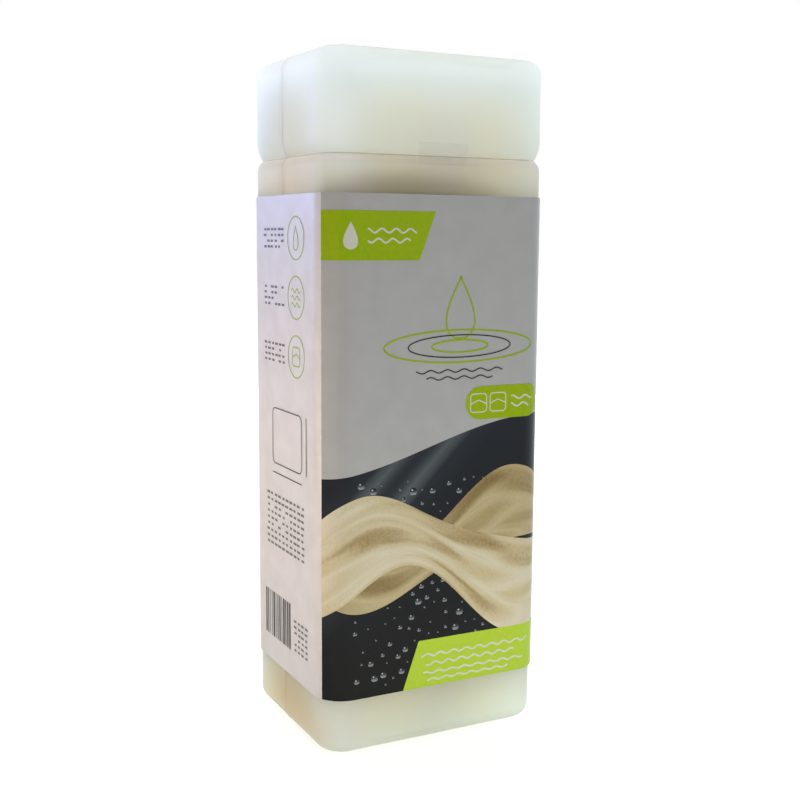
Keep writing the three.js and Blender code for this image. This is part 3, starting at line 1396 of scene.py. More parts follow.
    def wrapped(
        self, name: str, flat: FlatPrint, high: float, thickness: float, drape: PlaceOnMap | None = None
    ) -> Mesh:
        """Wraps a flat sheet round the tub as a closed film, and frees the flat sheet.

        Args:
            name: The mesh's name.
            flat: The sheet, in millimetres along the strip and upwards.
            high: How far its face lies above the card's.
            thickness: The film's.
            drape: Gives a second map's place, in metres, for a place on the strip.

        Returns:
            The mesh: its faces first, then as many backs, then its edges.
        """
        beads = flat.verts.layers.float_vector.get(BEAD)
        if beads is None:
            self.cut_to_bends(flat)
        flat.verts.index_update()
        count = len(flat.verts)
        spots = [(vert.co.x, vert.co.y) for vert in flat.verts]
        points = [self.wrap(*spot, lift) for lift in (high, high - thickness) for spot in spots]
        faces = [[vert.index for vert in face.verts] for face in flat.faces]
        faces += [[place + count for place in reversed(face)] for face in faces]
        for edge in flat.edges:
            if edge.is_boundary:
                loop = edge.link_loops[0]
                near, far = loop.vert.index, loop.link_loop_next.vert.index
                faces.append([far, near, near + count, far + count])
        mesh = bpy.data.meshes.new(name)
        mesh.from_pydata(points, [], faces)
        maps: dict[str, PlaceOnMap] = {UNROLLED: lambda along, height: (along * MM, height * MM)}
        if drape is not None:
            maps[DRAPE] = drape
        for map_name, place in maps.items():
            layer_map = mesh.uv_layers.new(name=map_name)
            for loop in mesh.loops:
                layer_map.data[loop.index].uv = place(*spots[loop.vertex_index % count])
        if beads is not None:
            kept = mesh.attributes.new(BEAD, "FLOAT_VECTOR", "POINT")
            within = [vert[beads] for vert in flat.verts]
            for place, value in enumerate(within * 2):
                kept.data[place].vector = value
        flat.free()
        return mesh

    def lay(
        self, name: str, flat: FlatPrint, film: Film, finish: Finish, drape: PlaceOnMap | None = None
    ) -> Piece:
        """Lays a flat print, in millimetres, on the card as a thin film of ink, and frees it."""
        mesh = self.wrapped(name, flat, film.value * self.ink_step, self.ink_film, drape)
        return make_piece(name, mesh, [finish], "sleeve")


def fill(flat: FlatPrint, outline: Sequence[Flat]) -> None:
    """Fills an outline on a flat print.

    Args:
        flat: The print.
        outline: Points round the shape, either way.
    """
    corners = [Vector((x, y, 0.0)) for x, y in outline]
    verts = [flat.verts.new(corner) for corner in corners]
    for triangle in geometry.tessellate_polygon([corners]):
        face = flat.faces.new([verts[place] for place in triangle])
        face.normal_update()
        if face.normal.z < 0:
            face.normal_flip()


def stroke(flat: FlatPrint, path: Sequence[Flat], width: float, closed: bool = False) -> None:
    """Draws a line of even width on a flat print.

    Args:
        flat: The print.
        path: The points that the line follows.
        width: The line's width.
        closed: Whether the last point joins the first.
    """
    points = [Vector(point) for point in path]
    count = len(points)
    pairs = []
    for place, point in enumerate(points):
        before = points[(place - 1) % count] if closed or place > 0 else point
        after = points[(place + 1) % count] if closed or place < count - 1 else point
        run = (after - before).normalized()
        side = Vector((-run.y, run.x)) * width / 2
        pairs.append([flat.verts.new((*(point + side * sign), 0.0)) for sign in (1, -1)])
    for place in range(count if closed else count - 1):
        left, right = pairs[place]
        next_left, next_right = pairs[(place + 1) % count]
        flat.faces.new((right, next_right, next_left, left))


def oval(x: float, y: float, reach_x: float, reach_y: float, steps: int = 48) -> list[Flat]:
    """Gives the points of an oval about a place, anticlockwise."""
    turns = [2 * math.pi * step / steps for step in range(steps)]
    return [(x + reach_x * math.cos(turn), y + reach_y * math.sin(turn)) for turn in turns]


def rounded_box(
    x: float, y: float, width: float, height: float, radius: float, steps: int = 8
) -> list[Flat]:
    """Gives the points of a rectangle with round corners about a place, anticlockwise.

    Args:
        x: Its middle.
        y: Its middle.
        width: Across.
        height: Upwards.
        radius: Of its corners.
        steps: Facets to a corner.

    Returns:
        The points.
    """
    points = []
    for corner, (sign_x, sign_y) in enumerate(((1, 1), (-1, 1), (-1, -1), (1, -1))):
        centre = (x + sign_x * (width / 2 - radius), y + sign_y * (height / 2 - radius))
        for step in range(steps + 1):
            turn = (corner + step / steps) * math.pi / 2
            points.append((centre[0] + radius * math.cos(turn), centre[1] + radius * math.sin(turn)))
    return points


def ripple(x: float, y: float, length: float, height: float, pitch: float, facets: int = 10) -> list[Flat]:
    """Gives the points of a level wave about a place.

    Args:
        x: Its middle.
        y: Its middle.
        length: From end to end.
        height: Of a crest above the middle.
        pitch: From crest to crest.
        facets: From crest to crest.

    Returns:
        The points.
    """
    steps = math.ceil(length / pitch * facets)
    runs = [length * (step / steps - 0.5) for step in range(steps + 1)]
    return [(x + run, y + height * math.sin(2 * math.pi * run / pitch)) for run in runs]


def water_drop(x: float, y: float, width: float, height: float, steps: int = 40) -> list[Flat]:
    """Gives the points of a drop about a place, round below and pointed above.

    Args:
        x: Its middle.
        y: Its middle.
        width: Across.
        height: Upwards.
        steps: Points round it.

    Returns:
        The points.
    """
    taper, widest = 1.4, 0.77
    points = []
    for step in range(steps):
        turn = 2 * math.pi * step / steps
        bulge = math.sin(turn) * math.sin(turn / 2) ** taper / widest
        points.append((x - width / 2 * bulge, y + height / 2 * math.cos(turn)))
    return points


class NodeTree:
    """A Geometry Nodes tree with named inputs, which lays repeated marks on a flat print."""

    def __init__(self, name: str, sizes: dict[str, float | int]) -> None:
        """Starts a tree.

        Args:
            name: The tree's name.
            sizes: Its inputs, whole numbers among them, with their values.
        """
        self.tree = bpy.data.node_groups.new(name, "GeometryNodeTree")
        self.sizes = sizes
        interface = self.tree.interface
        interface.new_socket("Geometry", in_out="INPUT", socket_type="NodeSocketGeometry")
        for size, value in sizes.items():
            kind = "NodeSocketInt" if isinstance(value, int) else "NodeSocketFloat"
            interface.new_socket(size, in_out="INPUT", socket_type=kind)
        interface.new_socket("Ink", in_out="INPUT", socket_type="NodeSocketMaterial")
        interface.new_socket("Geometry", in_out="OUTPUT", socket_type="NodeSocketGeometry")
        self.inputs = add_node(self.tree, "NodeGroupInput")

    def chance(self, low: float, high: float, salt: int, part_of: Socket | float = 1.0) -> Socket:
        """Gives a random share of a length for each mark, fixed by the tree's seed.

        Args:
            low: The least share.
            high: The largest share.
            salt: Sets one use of chance apart from another.
            part_of: The length.

        Returns:
            The value socket.
        """
        seed = add_node(self.tree, "Math", {0: self.inputs["Seed"], 1: float(salt)}, operation="ADD")[0]
        limits = {2: low, 3: high, "Seed": seed}
        share = add_node(self.tree, "FunctionNodeRandomValue", limits, data_type="FLOAT")[1]
        return add_node(self.tree, "Math", {0: part_of, 1: share}, operation="MULTIPLY")[0]

    def bar(self, length: Socket, height: Socket) -> dict[str, Socket]:
        """Makes a bar to repeat.

        Args:
            length: Its length along X.
            height: Its height along Y.

        Returns:
            The bar's mesh and its scale, as inputs of the node that repeats it.
        """
        unit = {"Size X": 1.0, "Size Y": 1.0, "Vertices X": 2, "Vertices Y": 2}
        mesh = add_node(self.tree, "GeometryNodeMeshGrid", unit)[0]
        size = add_node(self.tree, "CombineXYZ", {"X": length, "Y": height, "Z": 1.0})[0]
        return {"Instance": mesh, "Scale": size}

    def repeat(self, points: Socket, mark: dict[str, Socket]) -> NodeTree:
        """Ends the tree: sets a mark on each point, makes the marks real, inks them, passes them out.

        Args:
            points: Where the marks go.
            mark: The mark's mesh and its scale, as inputs of the node that repeats it.

        Returns:
            The finished tree.
        """
        marks = add_node(self.tree, "GeometryNodeInstanceOnPoints", {"Points": points, **mark})[0]
        real = add_node(self.tree, "GeometryNodeRealizeInstances", {"Geometry": marks})[0]
        inking = {"Geometry": real, "Material": self.inputs["Ink"]}
        inked = add_node(self.tree, "GeometryNodeSetMaterial", inking)[0]
        add_node(self.tree, "NodeGroupOutput", {"Geometry": inked})
        return self

    def flat_print(self, ink: Finish, ground: Mesh | None = None) -> FlatPrint:
        """Runs the tree and gives its marks as a flat print.

        Args:
            ink: The marks' finish.
            ground: The mesh that the marks are scattered on, if any.

        Returns:
            The marks, in millimetres.
        """
        source = placed(self.tree.name, ground or bpy.data.meshes.new(self.tree.name))
        modifier = source.modifiers.new(self.tree.name, "NODES")
        modifier.node_group = self.tree
        values = {**self.sizes, "Ink": ink.material()}
        for item in self.tree.interface.items_tree:
            if item.in_out == "INPUT" and item.name in values:
                modifier[item.identifier] = values[item.name]
        mesh = plain_mesh(source)
        flat = bmesh.new()
        flat.from_mesh(mesh)
        bpy.data.meshes.remove(mesh)
        return flat


class BarBlock(NamedTuple):
    """A block of bars in place of small print: where its middle lies, its size and its bars' sizes."""

    name: str
    panel: Panel
    x: float
    z: float
    width: float
    lines: int
    height: float
    pitch: float
    seed: int
    cell_heights: float = 4.2
    dropped: float = 0.13
    nudge: float = 0.1
    shortest: float = 0.45
    longest: float = 0.8

    def tree(self) -> NodeTree:
        """Builds a tree of lines of bars that stand for small print and spell nothing.

        Returns:
            The tree.
        """
        words = max(2, round(self.width / (self.cell_heights * self.height)))
        sizes = {"Column Width": self.width, "Line Pitch": self.pitch, "Word Height": self.height}
        sizes |= {"Lines": self.lines, "Words": words, "Seed": self.seed}
        made = NodeTree(f"Bars {self.name}", sizes)
        tree, into = made.tree, made.inputs
        cell = add_node(tree, "Math", {0: into["Column Width"], 1: into["Words"]}, operation="DIVIDE")[0]
        run = add_node(tree, "Math", {0: into["Column Width"], 1: cell}, operation="SUBTRACT")[0]
        gaps = add_node(tree, "Math", {0: into["Lines"], 1: 1.0}, operation="SUBTRACT")[0]
        rise = add_node(tree, "Math", {0: into["Line Pitch"], 1: gaps}, operation="MULTIPLY")[0]
        rows = {"Size X": run, "Size Y": rise, "Vertices X": into["Words"], "Vertices Y": into["Lines"]}
        spots = add_node(tree, "GeometryNodeMeshGrid", rows)[0]
        odds = {0: made.chance(0.0, 1.0, salt=1), 1: self.dropped}
        gone = add_node(tree, "FunctionNodeCompare", odds, data_type="FLOAT", operation="LESS_THAN")[0]
        culled = {"Geometry": spots, "Selection": gone}
        kept = add_node(tree, "GeometryNodeDeleteGeometry", culled, domain="POINT")[0]
        nudge = made.chance(-self.nudge, self.nudge, salt=2, part_of=cell)
        shift = add_node(tree, "CombineXYZ", {"X": nudge})[0]
        moved = add_node(tree, "GeometryNodeSetPosition", {"Geometry": kept, "Offset": shift})[0]
        length = made.chance(self.shortest, self.longest, salt=3, part_of=cell)
        return made.repeat(moved, made.bar(length, into["Word Height"]))


@dataclass(frozen=True)
class StripeBlock:
    """Upright bars of chance widths, which stand for a code and hold none."""

    x: float = -19.0
    z: float = 38.0
    bars: int = 13
    pitch: float = 1.9
    height: float = 17.0
    narrowest: float = 0.15
    widest: float = 0.72
    seed: int = 6

    def tree(self) -> NodeTree:
        """Builds the tree of bars.

        Returns:
            The tree.
        """
        sizes = {"Bars": self.bars, "Bar Pitch": self.pitch, "Bar Height": self.height, "Seed": self.seed}
        made = NodeTree("Stripe block", sizes)
        into = made.inputs
        step = add_node(made.tree, "CombineXYZ", {"X": into["Bar Pitch"]})[0]
        spots = add_node(made.tree, "GeometryNodeMeshLine", {"Count": into["Bars"], "Offset": step})[0]
        width = made.chance(self.narrowest, self.widest, salt=1, part_of=into["Bar Pitch"])
        return made.repeat(spots, made.bar(width, into["Bar Height"]))


@dataclass(frozen=True)
class WaterBeads:
    """Beads of water scattered over a flat ground, a few large and many small."""

    spacing: float = 3.4
    densest: float = 0.2
    least: float = 0.35
    largest: float = 1.5
    rarity: float = 3.0
    facets: int = 20
    seed: int = 4

    def tree(self) -> NodeTree:
        """Builds the tree that scatters them.

        Returns:
            The tree.
        """
        sizes = {"Spacing": self.spacing, "Least Radius": self.least, "Largest Radius": self.largest}
        made = NodeTree("Water beads", {**sizes, "Seed": self.seed})
        tree, into = made.tree, made.inputs
        scatter = {"Mesh": into["Geometry"], "Distance Min": into["Spacing"], "Seed": into["Seed"]}
        scatter["Density Max"] = self.densest
        apart = {"distribute_method": "POISSON"}
        spots = add_node(tree, "GeometryNodeDistributePointsOnFaces", scatter, **apart)[0]
        round_bead = {"Vertices": self.facets, "Radius": 1.0}
        disc = add_node(tree, "GeometryNodeMeshCircle", round_bead, fill_type="TRIANGLE_FAN")[0]
        here = add_node(tree, "GeometryNodeInputPosition")[0]
        # Each bead carries the place within it, which its finish is shaded by.
        noted = {"Geometry": disc, "Name": BEAD, "Value": here}
        kind = {"data_type": "FLOAT_VECTOR", "domain": "POINT"}
        bead = add_node(tree, "GeometryNodeStoreNamedAttribute", noted, **kind)[0]
        odds = {0: made.chance(0.0, 1.0, salt=1), 1: self.rarity}
        rare = add_node(tree, "Math", odds, operation="POWER")[0]
        radii = {"Value": rare, "To Min": into["Least Radius"], "To Max": into["Largest Radius"]}
        radius = add_node(tree, "MapRange", radii)[0]
        return made.repeat(spots, {"Instance": bead, "Scale": radius})


LIME = PrintingInk("Lime offset ink", full="#A6C800", thin="#ADD006")
# A lighter copy of the lime ink for the foot block: painted light, brighter low on the front.
LIME_WITH_PAINTED_LIGHT = PrintingInk("Lime offset ink with painted light", full="#C6EA3C", thin="#CBEE48")
WHITE = PrintingInk("White offset ink", full="#F3F5EC", thin="#E9EEDC")
BLACK = PrintingInk("Black offset ink", full="#1A1B1D", thin="#2A2B2D")
GREY = PrintingInk("Grey offset ink", full="#6B6C6F", thin="#7D7E80")
SILVER = PrintingInk("Silver-grey offset ink", full="#C6C9CB", thin="#CBCED0", mottle=9.0)


class Sign(Enum):
    """A small sign on the print."""

    DROP = "a drop"
    RIPPLES = "three ripples"
    FOLDED_CLOTH = "a folded cloth"


class RingedSign(NamedTuple):
    """A sign in a ring: the side of the sleeve that it is on, and its middle."""

    panel: Panel
    x: float
    z: float
    sign: Sign


class Wave(NamedTuple):
    """A level wave on the front: its middle, its length and the height of its crests."""

    x: float
    z: float
    length: float
    height: float


@dataclass(frozen=True)
class DrapedCloth:
    """One wave of cloth in the print's picture. It swings about a height on its way across the front."""

    name: str
    film: Film
    picture: DrapedClothPicture
    middle: float
    swing: float
    phase: float
    breadth: float
    waves: float = 0.82
    swell: float = 0.28
    swells: float = 1.3
    swell_start: float = 0.15
    map_shift: float = 60.0
    steps: int = 80

    def centre(self, share: float) -> float:
        """Gives the height of the cloth's middle, at a share of the way across."""
        return self.middle + self.swing * math.sin(2 * math.pi * (share * self.waves + self.phase))

    def half(self, share: float) -> float:
        """Gives half of the cloth's height, at a share of the way across."""
        turns = self.swells * share + self.swell_start + self.phase
        return self.breadth * (1 + self.swell * math.sin(2 * math.pi * turns))

    def lay(self, sleeve: CardSleeve) -> None:
        """Lays the cloth across the sleeve's front.

        Args:
            sleeve: The sleeve.
        """
        left, right = sleeve.creases
        length = right - left

        def drape(along: float, height: float) -> Flat:
            """Maps a place on the strip along and across the cloth.

            Args:
                along: The place along the strip.
                height: Its height.

            Returns:
                The place on the second map, in metres.
            """
            share = (along - left) / length
            across = (height - self.centre(share)) / self.half(share) * self.breadth
            return along * MM, (across + self.map_shift * self.phase) * MM

        below = []
        above = []
        for step in range(self.steps + 1):
            share = step / self.steps
            below.append((left + length * share, self.centre(share) - self.half(share)))
            above.append((left + length * share, self.centre(share) + self.half(share)))
        flat = bmesh.new()
        fill(flat, [*below, *reversed(above)])
        sleeve.lay(self.name, flat, self.film, self.picture, drape)


NEAR_CLOTH = DrapedClothPicture("Printed picture of draped cloth 2")
FAR_CLOTH = DrapedClothPicture(
    "Printed picture of draped cloth 1", hollow="#8A7448", middle="#BFAE7E", crest="#D8CBA0"
)


@dataclass(frozen=True)
class SleevePrint:
    """A generic print on the sleeve.

    It has a dark lower field with draped cloth and beads of water, lime blocks, a drop over ripples,
    ringed signs and bars in place of words. Heights are above the floor, and other places are to the
    right of the middle of a side.
    """

    sleeve: CardSleeve
    line: float = 0.6
    thin_line: float = 0.4
    field_middle: float = 105.0
    field_swing: float = 9.0
    field_phase: float = 0.45
    field_steps: int = 60
    bead_margins: Flat = (3.0, 2.0)
    cloths: tuple[DrapedCloth, ...] = (
        DrapedCloth("print_cloth_behind", Film.CLOTH_BEHIND, FAR_CLOTH, 72.0, -11.0, 0.06, 10.5),
        DrapedCloth("print_cloth_before", Film.CLOTH_BEFORE, NEAR_CLOTH, 64.0, 12.0, 0.02, 13.5),
    )
    flag: tuple[Flat, Flat] = ((-9.0, 168.0), (-3.0, 184.0))
    foot_start: float = -14.0
    foot_corner: Flat = (-8.0, 37.0)
    pill: tuple[float, ...] = (25.0, 119.0, 31.0, 11.6, 5.8)
    pill_cloths: Flat = (14.6, 22.4)
    drop_x: float = 7.0
    drop: tuple[float, float, float] = (152.0, 12.0, 21.0)
    ripple_z: float = 139.0
    ripple_reaches: Flat = (11.0, 29.0)
    ripple_flatness: float = 0.19
    dark_ripple: Flat = (20.0, 3.8)
    dark_waves: tuple[Wave, ...] = (Wave(7.0, 130.6, 34.0, 0.5), Wave(7.0, 128.2, 26.0, 0.5))
    dark_wave_pitch: float = 6.5
    ring: float = 7.2
    ringed: tuple[RingedSign, ...] = (
        RingedSign(Panel.LEFT, 11.0, 175.0, Sign.DROP),
        RingedSign(Panel.LEFT, 11.0, 155.0, Sign.RIPPLES),
        RingedSign(Panel.LEFT, 11.0, 135.0, Sign.FOLDED_CLOTH),
        RingedSign(Panel.RIGHT, -11.0, 160.0, Sign.DROP),
        RingedSign(Panel.RIGHT, -11.0, 138.0, Sign.RIPPLES),
    )
    back_x: float = 4.0
    back_bar: tuple[Flat, Flat] = ((-26.0, 174.0), (26.0, 180.0))
    back_drop: tuple[float, float, float] = (140.0, 22.0, 36.0)
    flag_drop: tuple[float, ...] = (-34.0, 176.0, 5.4, 9.0)
    white_waves: tuple[Wave, ...] = (
        Wave(-19.0, 177.6, 18.0, 0.7),
        Wave(-20.2, 174.4, 15.6, 0.7),
        Wave(32.4, 120.3, 9.0, 0.6),
        Wave(31.6, 117.7, 7.4, 0.6),
        Wave(15.0, 31.4, 44.0, 0.5),
        Wave(13.0, 28.2, 36.0, 0.5),
        Wave(14.4, 25.0, 41.0, 0.35),
        Wave(12.0, 22.4, 33.0, 0.35),
    )
    white_wave_pitch: float = 5.2
    drawn_skins: tuple[tuple[Panel, float], ...] = ((Panel.LEFT, 2.0), (Panel.BACK, -6.0))
    drawn_skin: tuple[float, ...] = (105.0, 27.0, 20.0, 2.4)
    size_lines: tuple[tuple[Flat, Flat], ...] = (
        ((-13.5, 91.5), (13.5, 91.5)),
        ((17.5, 95.0), (17.5, 115.0)),
    )
    bar_blocks: tuple[BarBlock, ...] = (
        BarBlock("left_1", Panel.LEFT, -9.0, 175.0, 20.0, 4, 0.8, 2.0, 11),
        BarBlock("left_2", Panel.LEFT, -9.0, 155.0, 20.0, 4, 0.8, 2.0, 12),
        BarBlock("left_3", Panel.LEFT, -9.0, 135.0, 20.0, 4, 0.8, 2.0, 13),
        BarBlock("left_4", Panel.LEFT, 0.0, 74.0, 36.0, 9, 0.85, 2.3, 14),
        BarBlock("left_5", Panel.LEFT, 14.0, 36.0, 13.0, 6, 0.8, 2.1, 15),
        BarBlock("right_1", Panel.RIGHT, 9.0, 160.0, 20.0, 4, 0.8, 2.0, 16),
        BarBlock("right_2", Panel.RIGHT, 9.0, 138.0, 20.0, 4, 0.8, 2.0, 17),
        BarBlock("right_3", Panel.RIGHT, 0.0, 92.0, 38.0, 20, 0.85, 2.3, 18),
        BarBlock("right_4", Panel.RIGHT, 0.0, 42.0, 38.0, 8, 0.85, 2.3, 19),
        BarBlock("back_1", Panel.BACK, 4.0, 66.0, 52.0, 14, 0.85, 2.4, 20),
        BarBlock("back_2", Panel.BACK, 4.0, 34.0, 52.0, 5, 0.85, 2.4, 21),
    )

    def at(self, panel: Panel, x: float) -> float:
        """Gives the place along the strip that lies x to the right of a side's middle."""
        return self.sleeve.middle(panel) + x

    def lay_fields(self) -> None:
        """Lays the front's silver-grey upper field and its dark lower field, which meet in a swing."""
        left, right = self.sleeve.creases
        bottom, top = self.sleeve.bottom, self.sleeve.top
        horizon = []
        for step in range(self.field_steps + 1):
            share = step / self.field_steps
            height = self.field_middle + self.field_swing * math.sin(math.pi * (share - self.field_phase))
            horizon.append((left + (right - left) * share, height))
        flat = bmesh.new()
        fill(flat, [*horizon, (right, top), (left, top)])
        self.sleeve.lay("print_silver_field", flat, Film.FIELD, SILVER)
        flat = bmesh.new()
        fill(flat, [(left, bottom), (right, bottom), *reversed(horizon)])
        picture = PolishedPanelPicture("Printed picture of polished dark lacquer")
        self.sleeve.lay("print_dark_field", flat, Film.FIELD, picture)

    def lay_beads(self) -> None:
        """Lays beads of water over the dark field."""
        reach = self.sleeve.flats[0] / 2
        low = self.sleeve.bottom + self.bead_margins[0]
        high = self.field_middle - self.field_swing - self.bead_margins[1]
        corners = ((-reach, low), (reach, low), (reach, high), (-reach, high))
        ground = bmesh.new()
        fill(ground, [(self.at(Panel.FRONT, x), z) for x, z in corners])
        ink = WaterBeadPicture("Printed picture of water beads")
        beads = WaterBeads().tree().flat_print(ink, mesh_of("bead_ground", ground))
        self.sleeve.lay("print_water_beads", beads, Film.BEADS, ink)

    def lay_lime(self) -> None:
        """Lays the lime blocks, the drop over its ripples and the ringed signs, with the foot block in a
        lighter copy of the lime ink as painted light.
        """
        start, stop = self.sleeve.creases
        bottom = self.sleeve.bottom
        front = self.at(Panel.FRONT, 0.0)
        (low_x, low), (high_x, high) = self.flag
        flat = bmesh.new()
        fill(flat, [(start, low), (front + low_x, low), (front + high_x, high), (start, high)])
        foot_x, foot_top = self.foot_corner
        foot = bmesh.new()
        foot_edge = [(front + foot_x, foot_top), (front + self.foot_start, bottom)]
        fill(foot, [foot_edge[1], (stop, bottom), (stop, foot_top), foot_edge[0]])
        # The foot block takes the lighter copy of the lime ink: painted light.
        self.sleeve.lay("print_lime_foot", foot, Film.LIME, LIME_WITH_PAINTED_LIGHT)
        fill(flat, rounded_box(front + self.pill[0], *self.pill[1:]))
        middle = front + self.drop_x
        stroke(flat, water_drop(middle, *self.drop), self.line, closed=True)
        for reach in self.ripple_reaches:
            wide = oval(middle, self.ripple_z, reach, self.ripple_flatness * reach)
            stroke(flat, wide, self.line, closed=True)
        for panel, x, z, sign in self.ringed:
            here = self.at(panel, x)
            stroke(flat, oval(here, z, self.ring, self.ring), self.thin_line, closed=True)
            self.draw_sign(flat, sign, here, z)
        back = self.at(Panel.BACK, self.back_x)
        (west, low), (east, high) = self.back_bar
        fill(flat, [(back + west, low), (back + east, low), (back + east, high), (back + west, high)])
        stroke(flat, water_drop(back, *self.back_drop), self.line, closed=True)
        self.sleeve.lay("print_lime", flat, Film.LIME, LIME)

    def draw_sign(self, flat: FlatPrint, sign: Sign, x: float, z: float) -> None:
        """Draws a small sign.

        Args:
            flat: The print.
            sign: Which sign.
            x: Its middle along the strip.
            z: Its height.
        """
        if sign is Sign.DROP:
            stroke(flat, water_drop(x, z, width=4.6, height=8.0), self.thin_line, closed=True)
        elif sign is Sign.RIPPLES:
            for row in (-2.4, 0.0, 2.4):
                stroke(flat, ripple(x, z + row, length=8.0, height=0.7, pitch=4.0), self.thin_line)
        else:
            half = 3.2
            cloth = rounded_box(x, z, width=2 * half, height=2 * half, radius=1.2)
            stroke(flat, cloth, self.thin_line, closed=True)
            fold = ((-half, -0.4), (0.0, 1.0), (half, -0.4))
            stroke(flat, [(x + along, z + up) for along, up in fold], self.thin_line)

    def lay_white(self) -> None:
        """Lays the white signs and waves on the lime blocks."""
        front = self.at(Panel.FRONT, 0.0)
        flat = bmesh.new()
        fill(flat, water_drop(front + self.flag_drop[0], *self.flag_drop[1:]))
        for x in self.pill_cloths:
            self.draw_sign(flat, Sign.FOLDED_CLOTH, front + x, self.pill[1])
        for x, *wave in self.white_waves:
            stroke(flat, ripple(front + x, *wave, self.white_wave_pitch), self.line)
        self.sleeve.lay("print_white_signs", flat, Film.SIGNS, WHITE)

    def lay_black(self) -> None:
        """Lays the dark ripples and the drawings of a skin with lines along two of its sides."""
        front = self.at(Panel.FRONT, 0.0)
        flat = bmesh.new()
        dark = oval(front + self.drop_x, self.ripple_z, *self.dark_ripple)
        stroke(flat, dark, self.thin_line, closed=True)
        for x, *wave in self.dark_waves:
            stroke(flat, ripple(front + x, *wave, self.dark_wave_pitch), self.thin_line)
        for panel, x in self.drawn_skins:
            here = self.at(panel, x)
            stroke(flat, rounded_box(here, *self.drawn_skin), self.thin_line, closed=True)
            for ends in self.size_lines:
                stroke(flat, [(here + along, z) for along, z in ends], self.thin_line)
        self.sleeve.lay("print_black_lines", flat, Film.SIGNS, BLACK)

    def lay_marks(self, name: str, marks: NodeTree, ink: Finish, along: float, height: float) -> None:
        """Lays a tree's marks on the card.

        Args:
            name: The piece's name.
            marks: The tree that makes them.
            ink: Their finish.
            along: The place along the strip that the tree's origin goes to.
            height: The height that it goes to.
        """
        flat = marks.flat_print(ink)
        bmesh.ops.translate(flat, verts=flat.verts, vec=(along, height, 0.0))
        self.sleeve.lay(name, flat, Film.SIGNS, ink)

    def build(self) -> None:
        """Lays the whole print, from the card outwards."""
        self.lay_fields()
        self.lay_beads()
        for cloth in self.cloths:
            cloth.lay(self.sleeve)
        self.lay_lime()
        self.lay_white()
        self.lay_black()
        stripes = StripeBlock()
        along = self.at(Panel.LEFT, stripes.x)
        self.lay_marks("print_stripe_block", stripes.tree(), BLACK, along, stripes.z)
        for block in self.bar_blocks:
            along = self.at(block.panel, block.x)
            self.lay_marks(f"print_bars_{block.name}", block.tree(), GREY, along, block.z)


class Side(Enum):
    """Which of the two leathers, with the direction of its place along X."""

    LEFT = -1
    RIGHT = 1


class WoundPoint(NamedTuple):
    """A point of a winding seen from above: the length up to it, its place and its outward direction."""

    so_far: float
    spot: Vector
    out: Vector


